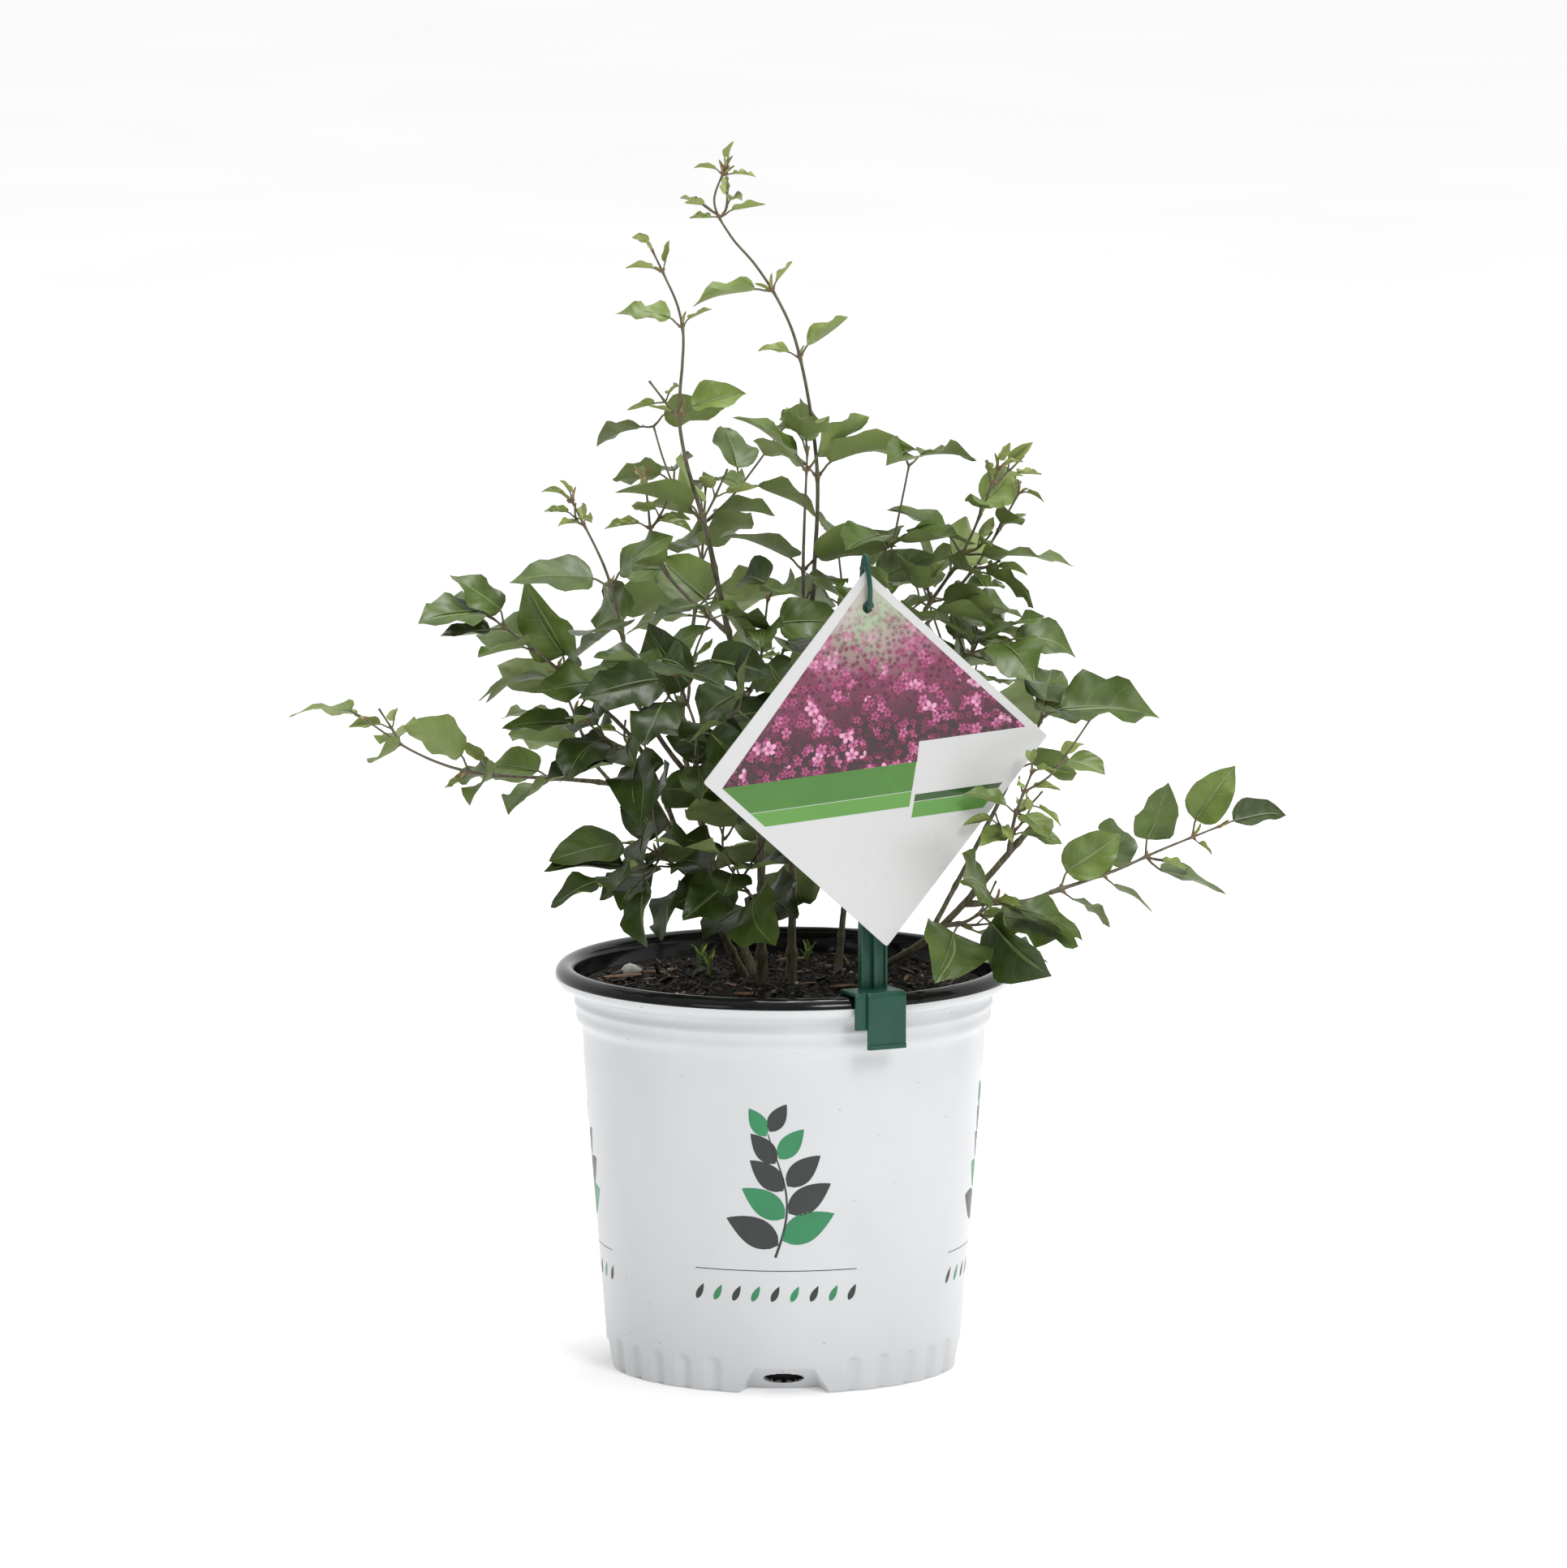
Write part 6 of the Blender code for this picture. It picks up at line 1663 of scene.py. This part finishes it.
def blade(shape, random):
    """The fine skin of a leaf's blade, and its corners' places on the chart.

    The half width is a power of the share along, times a power of the share left, both 1 at the
    widest place, and it is drawn in at the tip. The blade folds up from its midrib, waves at its
    margins, sways, twists, and bends away from its face with the square of the share. The faces
    below are split along the same diagonals as those above, so that the two never cross. The
    middle line and the way down from it are returned too, for the stalk.
    """
    root, stalk, direction, face, length, width, arch, petiole = shape
    across = np.cross(direction, face)
    foot = root + stalk * petiole
    small = length < YOUNG_LEAF
    length = length * (YOUNG_REACH if small else BLADE_REACH)
    width = width * (YOUNG_WIDTH if small else BLADE_WIDTH)
    fold = math.radians(random.uniform(*(YOUNG_FOLD if small else FOLD)))
    sway = random.normal(0, SWAY) * length
    twist = random.normal(0, TWIST)
    curl = random.uniform(*CURL) * length
    phases = random.uniform(0, 2 * math.pi, 2)
    waves = random.uniform(*WAVES)
    ruffle = random.uniform(*RUFFLE) * width
    u, w = ALONG[:, None], ACROSS[None]
    half = width / 2 * (u / WIDEST) ** 0.40 * ((1 - u) / (1 - WIDEST)) ** 0.68
    half = half * (1 - 0.5 * ease((u - TIP_FROM) / (1 - TIP_FROM)))
    half = np.maximum(half, PETIOLE_HALF * 0.8)
    phase = np.where(w > 0, phases[0], phases[1])
    rise = (np.abs(w) - 0.4) * half * math.sin(fold)
    rise = rise + ruffle * w**2 * np.sin(2 * math.pi * waves * u + phase) * np.sqrt(4 * u * (1 - u))
    out = w * half * math.cos(fold) + sway * np.sin(math.pi * u)
    turn = (twist * u)[..., None]
    wide = across * np.cos(turn) + face * np.sin(turn)
    high = face * np.cos(turn) - across * np.sin(turn)
    bend = arch * length * u**2 + curl * np.clip(u - 0.55, 0, 1) ** 2 / 0.2
    middle = foot + direction * (u * length)[..., None] - face * bend[..., None]
    rings = middle + wide * out[..., None] + high * (rise - UNDER * BLADE)[..., None]
    tip = foot + direction * length - face * (arch * length + curl)
    places = np.stack(np.broadcast_arrays(w, u), -1).reshape(-1, 2)
    places = np.vstack([places, ((0.0, 0.0), (0.0, 1.0))])
    corners, quads, triangles = skin(rings, np.array((foot, tip)))
    below = np.tile(BLADE_KINDS == 1, len(ALONG) - 1)
    quads = np.where(below[:, None], np.roll(quads, 1, axis=1), quads)
    return (corners, quads, triangles), places, (middle[:, 0], -high[:, 0])


def stalk_skin(shape, under):
    """A leaf's stalk, bowed a little, run on as a raised midrib under the blade and thinning out."""
    root, stalk, _, face, length, _, _, petiole = shape
    middle, down = under
    bow = -face * petiole * 0.06
    radii = STALK_RADII * min(1.0, 0.45 + length / 0.07)
    free = (root, root + stalk * petiole * 0.4 + bow, root + stalk * petiole * 0.8 + bow * 0.6)
    under_blade = middle[1:-1] + down[1:-1] * (BLADE + 0.5 * radii[3:, None])
    return rod(np.vstack([*free, under_blade]), radii, STALK_SIDES)


def opening_leaf(root, direction, face, length):
    """A young leaf that is still unfolding: a slim lance, folded up from its midrib like a boat.

    The half width goes with a sine of the share along, and the leaf bends down with the share's
    square. Each ring is left margin, midrib above, right margin and midrib below.
    """
    across = np.cross(direction, face)
    u, w = OPENING_ALONG[:, None], OPENING_ACROSS[None]
    half = OPENING_HALF * length * np.sin(math.pi * (0.06 + 0.90 * u)) ** 0.8
    rise = np.abs(w) * half * math.sin(OPENING_FOLD) - np.array((0, 0, 0, 0.035)) * length
    out = w * half * math.cos(OPENING_FOLD)
    bend = OPENING_BEND * length * u**2
    rings = root + direction * (u * length)[..., None] + across * out[..., None]
    rings = rings + face * (rise - bend)[..., None]
    tip = root + direction * length - face * OPENING_BEND * length
    return skin(rings, np.array((root - direction * length * 0.04, tip)))


def bud(root, direction, length, radius):
    """A pointed bud: five rings of an egg."""
    share = np.array((0.0, 0.25, 0.5, 0.75, 0.93))
    path = root + direction * (share * length)[:, None]
    return rod(path, radius * np.array((0.6, 1.0, 0.95, 0.62, 0.25)), 6, dome=0.8)


space = Space()
for name in ("pot", "soil", "label_holder", "label_card"):
    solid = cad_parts[name].data
    points = np.empty(3 * len(solid.vertices))
    solid.vertices.foreach_get("co", points)
    space.add(points.reshape(-1, 3), [tuple(face.vertices) for face in solid.polygons])
for name, limb in limbs.items():
    corners, faces = tube(limb.points, limb.radii, STEM_SIDES)
    if name in STEMS:
        corners[:STEM_SIDES, 2] = SOIL_TOP + GAP
    space.add(corners, faces)
plans = {name: {**USUAL, **plan} for name, plan in MASSES.items()}
started = {
    name: start_mass(name, plan, limbs, space, seed)
    for seed, (name, plan) in enumerate(plans.items(), start=1)
}
for name, (foliage, main) in started.items():
    fill_mass(foliage, main, plans[name])
for seed, (foliage, main) in enumerate(started.values(), start=101):
    foliage.random = np.random.default_rng(seed)
    for share, side in foliage.axils[:-2]:
        if foliage.random.random() < TWIGLET_SHARE:
            foliage.twig(main, share, side, foliage.random.uniform(*TWIGLET_LENGTH), 1, TWIGLET_LEAF)

shape_random = np.random.default_rng(41)
opening_random = np.random.default_rng(57)
blades = {tone: Batch() for tone in TONES}
sprays = {tone: [] for tone in TONES}
stalks, shoots, buds, opening = Batch(), Batch(), Batch(), Batch()
for name, (foliage, main) in started.items():
    for shape in foliage.leaves:
        # A leaf's green is its spray's own, which carries painted shade low in the crown and painted light
        # high up, stepped lighter or darker at random. Small leaves take the young green.
        step = SPRAY_GREEN_AND_SHADE[name] + (shape_random.random() < LIGHTER) - (shape_random.random() < DARKER)
        tone = TONES[4 if shape[4] < YOUNG_LEAF else int(np.clip(step, 0, 3))]
        grown = shape_random.uniform(*GROWN) if shape[4] > FULL_LEAF else 1.0
        shape = (*shape[:4], shape[4] * grown, shape[5] * grown, *shape[6:])
        made, places, under = blade(shape, shape_random)
        blades[tone].add(made, np.tile(BLADE_KINDS, len(ALONG) - 1), np.tile(BLADE_KINDS, 2), places)
        sprays[tone].append(name)
        stalks.add(stalk_skin(shape, under), STALK_KINDS, np.repeat((0, 1), STALK_SIDES))
    pair_shares = sorted({share for share, _ in foliage.axils})
    shoots.add(
        limb_skin(main, swollen=pair_shares, random=shape_random, **SHOOT_SKIN), int(SPRAY_GREEN_AND_SHADE[name] == 3),
    )
    for twig in foliage.twigs:
        shoots.add(limb_skin(twig, swollen=(0.45, 1.0), random=shape_random, **TWIG_SKIN), 1)
    for share, side in foliage.axils:
        root, axis, _, _ = main.at(min(share, LAST_AXIL))
        size = shape_random.uniform(*BUD_LENGTH)
        foot = root + side * main.radius(share) * 0.7
        buds.add(bud(foot, unit(side * 0.75 + axis), size, size * BUD_HALF))
    tip_side = foliage.axils[-1][1]
    pairs = [(1.0, tip_side), (1.0, -tip_side)]
    pairs += [axil for axil in foliage.axils[:-2] if opening_random.random() < OPENING]
    for share, side in pairs:
        root, axis, _, _ = main.at(min(share, LAST_AXIL))
        lean = unit(axis + side * opening_random.uniform(*OPENING_LEAN) + opening_random.normal(0, 0.1, 3))
        face = unit(axis - lean * (axis @ lean) - side * 0.4)
        face = unit(face - lean * (face @ lean))
        length = opening_random.uniform(*OPENING_LENGTH)
        made = opening_leaf(root + side * OPENING_ASIDE, lean, face, length)
        opening.add(made, int(opening_random.random() < FLUSHED))
    if name == FLUSHED_SHOOT:
        root, axis, across, _ = main.at(LAST_AXIL)
        for side in (across, -across):
            lean = unit(axis + side * 0.22)
            face = unit(-side - lean * (lean @ -side))
            opening.add(opening_leaf(root + side * OPENING_ASIDE, lean, face, FLUSHED_LEAF), 1)

# Greens: dark and light of the mottle above, and the veins. Below, a leaf is part its own green and
# part one pale green that all share.
# The deep greens serve partly as painted shade for the lower, inner sprays, and the bright greens partly as
# painted light for the upper, outer ones.
GREENS = {
    "deep": ((0.018, 0.033, 0.003), (0.032, 0.056, 0.006), (0.080, 0.120, 0.028)),
    "mature": ((0.045, 0.075, 0.011), (0.076, 0.119, 0.019), (0.140, 0.190, 0.055)),
    "bright": ((0.076, 0.119, 0.019), (0.118, 0.172, 0.030), (0.185, 0.240, 0.072)),
    "fresh": ((0.122, 0.175, 0.032), (0.176, 0.238, 0.050), (0.255, 0.315, 0.100)),
    "young": ((0.135, 0.175, 0.036), (0.220, 0.268, 0.064), (0.300, 0.350, 0.115)),
}
UNDERSIDE = np.array((0.200, 0.243, 0.092))
UNDERSIDE_SHARE = 0.55
VEIN_DEPTH = 0.00035
for tone, (dark, light, vein) in GREENS.items():
    pale = UNDERSIDE_SHARE * UNDERSIDE + (1 - UNDERSIDE_SHARE) * np.array(light) * 1.4
    materials = (
        leaf_finish(f"{tone}_leaf", dark, light, (0.34, 0.48), vein, 0.38, VEIN_DEPTH),
        leaf_finish(f"{tone}_underside", pale * 0.85, pale, (0.55, 0.70), pale * 1.2, 0.55, -VEIN_DEPTH),
        finish(f"{tone}_midrib", vein, np.array(vein) * 1.25, 200.0, (0.45, 0.6)),
    )
    blades[tone].piece(f"{tone}_blades", materials, "leaf", sorted(set(sprays[tone])), sharp=65.0)
every_spray = tuple(MASSES)
stalk_finish = finish("leaf_stalk", (0.055, 0.045, 0.024), (0.120, 0.125, 0.050), 120.0, (0.45, 0.6))
rib_finish = finish("rib_below", (0.120, 0.150, 0.060), (0.165, 0.205, 0.085), 120.0, (0.5, 0.65))
stalks.piece("leaf_stalks", (stalk_finish, rib_finish), "leaf", every_spray)
opening_green = finish("opening_green", (0.170, 0.185, 0.045), (0.260, 0.265, 0.080), 260.0, (0.4, 0.55))
opening_red = finish("opening_red", (0.175, 0.115, 0.045), (0.320, 0.225, 0.085), 260.0, (0.4, 0.55))
opening.piece("opening_leaves", (opening_green, opening_red), "leaf", every_spray, sharp=70.0)
shoot_brown = finish(
    "shoot_brown", (0.070, 0.058, 0.036), (0.150, 0.128, 0.082), 500.0, (0.45, 0.65), relief=0.0004,
    stretch=(1, 1, 0.3),
)
shoot_young = finish("young_shoot", (0.062, 0.050, 0.028), (0.125, 0.108, 0.054), 300.0, (0.4, 0.6))
shoots.piece("shoots", (shoot_brown, shoot_young), "bark", every_spray)
bud_finish = finish("bud", (0.110, 0.050, 0.026), (0.230, 0.130, 0.055), 700.0, (0.45, 0.6))
buds.piece("axil_buds", (bud_finish,), "leaf", every_spray)

# Suckers: three green shoots as high as a fingernail, new from the roots, standing on the soil. Each
# has a short stem and a few small upright leaflets.
# Suckers: x, y, height, and whether the stem is red
SUCKERS = ((-0.043, 0.057, 0.012, 0), (-0.038, 0.033, 0.014, 0), (0.012, 0.057, 0.013, 1))
SUCKER_STEM = np.linspace(0.0009, 0.0005, 7)
SUCKER_TURN = 2.4
# Leaflets, from the lowest: where on the stem, and how long
LEAFLETS = ((2, 0.0095), (2, 0.0095), (4, 0.0095), (4, 0.0095), (6, 0.0075))

leaflets, sucker_stems = Batch(), Batch()
for x, y, height, reddish in SUCKERS:
    foot = np.array((x, y, float(soil_level(x, y)) - 0.001))
    path = route([foot, foot + np.array((0.0006, -0.0004, height * 0.75))], 6)
    sucker_stems.add(rod(path, SUCKER_STEM, 7), reddish)
    for k, (place, size) in enumerate(LEAFLETS):
        angle = SUCKER_TURN * k + x * 100
        aside = np.array((math.cos(angle), math.sin(angle), 0.0))
        stalk = unit(aside * 0.32 + np.array((0, 0, 0.9)))
        face = unit(aside * -0.8 + np.array((0, 0, 0.5)))
        face = unit(face - stalk * (face @ stalk))
        shape = (path[place], stalk, stalk, face, size, size * 0.42, 0.15, 0.0012)
        made, places, _ = blade(shape, shape_random)
        leaflets.add(made, np.tile(BLADE_KINDS, len(ALONG) - 1), np.tile(BLADE_KINDS, 2), places)
sucker_leaf = leaf_finish(
    "sucker_leaf", (0.22, 0.26, 0.045), (0.36, 0.40, 0.08), (0.4, 0.5), (0.42, 0.46, 0.16), 0.3, 0.0002,
)
sucker_under = finish("sucker_underside", (0.16, 0.30, 0.08), (0.20, 0.35, 0.10), 400.0, (0.5, 0.6))
sucker_rib = finish("sucker_midrib", (0.25, 0.40, 0.11), (0.30, 0.45, 0.14), 400.0, (0.5, 0.6))
sucker_green = finish("sucker_green", (0.10, 0.22, 0.04), (0.16, 0.30, 0.06), 500.0, (0.5, 0.6))
sucker_red = finish("sucker_red", (0.12, 0.045, 0.025), (0.20, 0.09, 0.05), 500.0, (0.5, 0.6))
leaflets.piece("sucker_leaflets", (sucker_leaf, sucker_under, sucker_rib), "leaf", (), sharp=65.0)
sucker_stems.piece("sucker_stems", (sucker_green, sucker_red), "leaf", ())
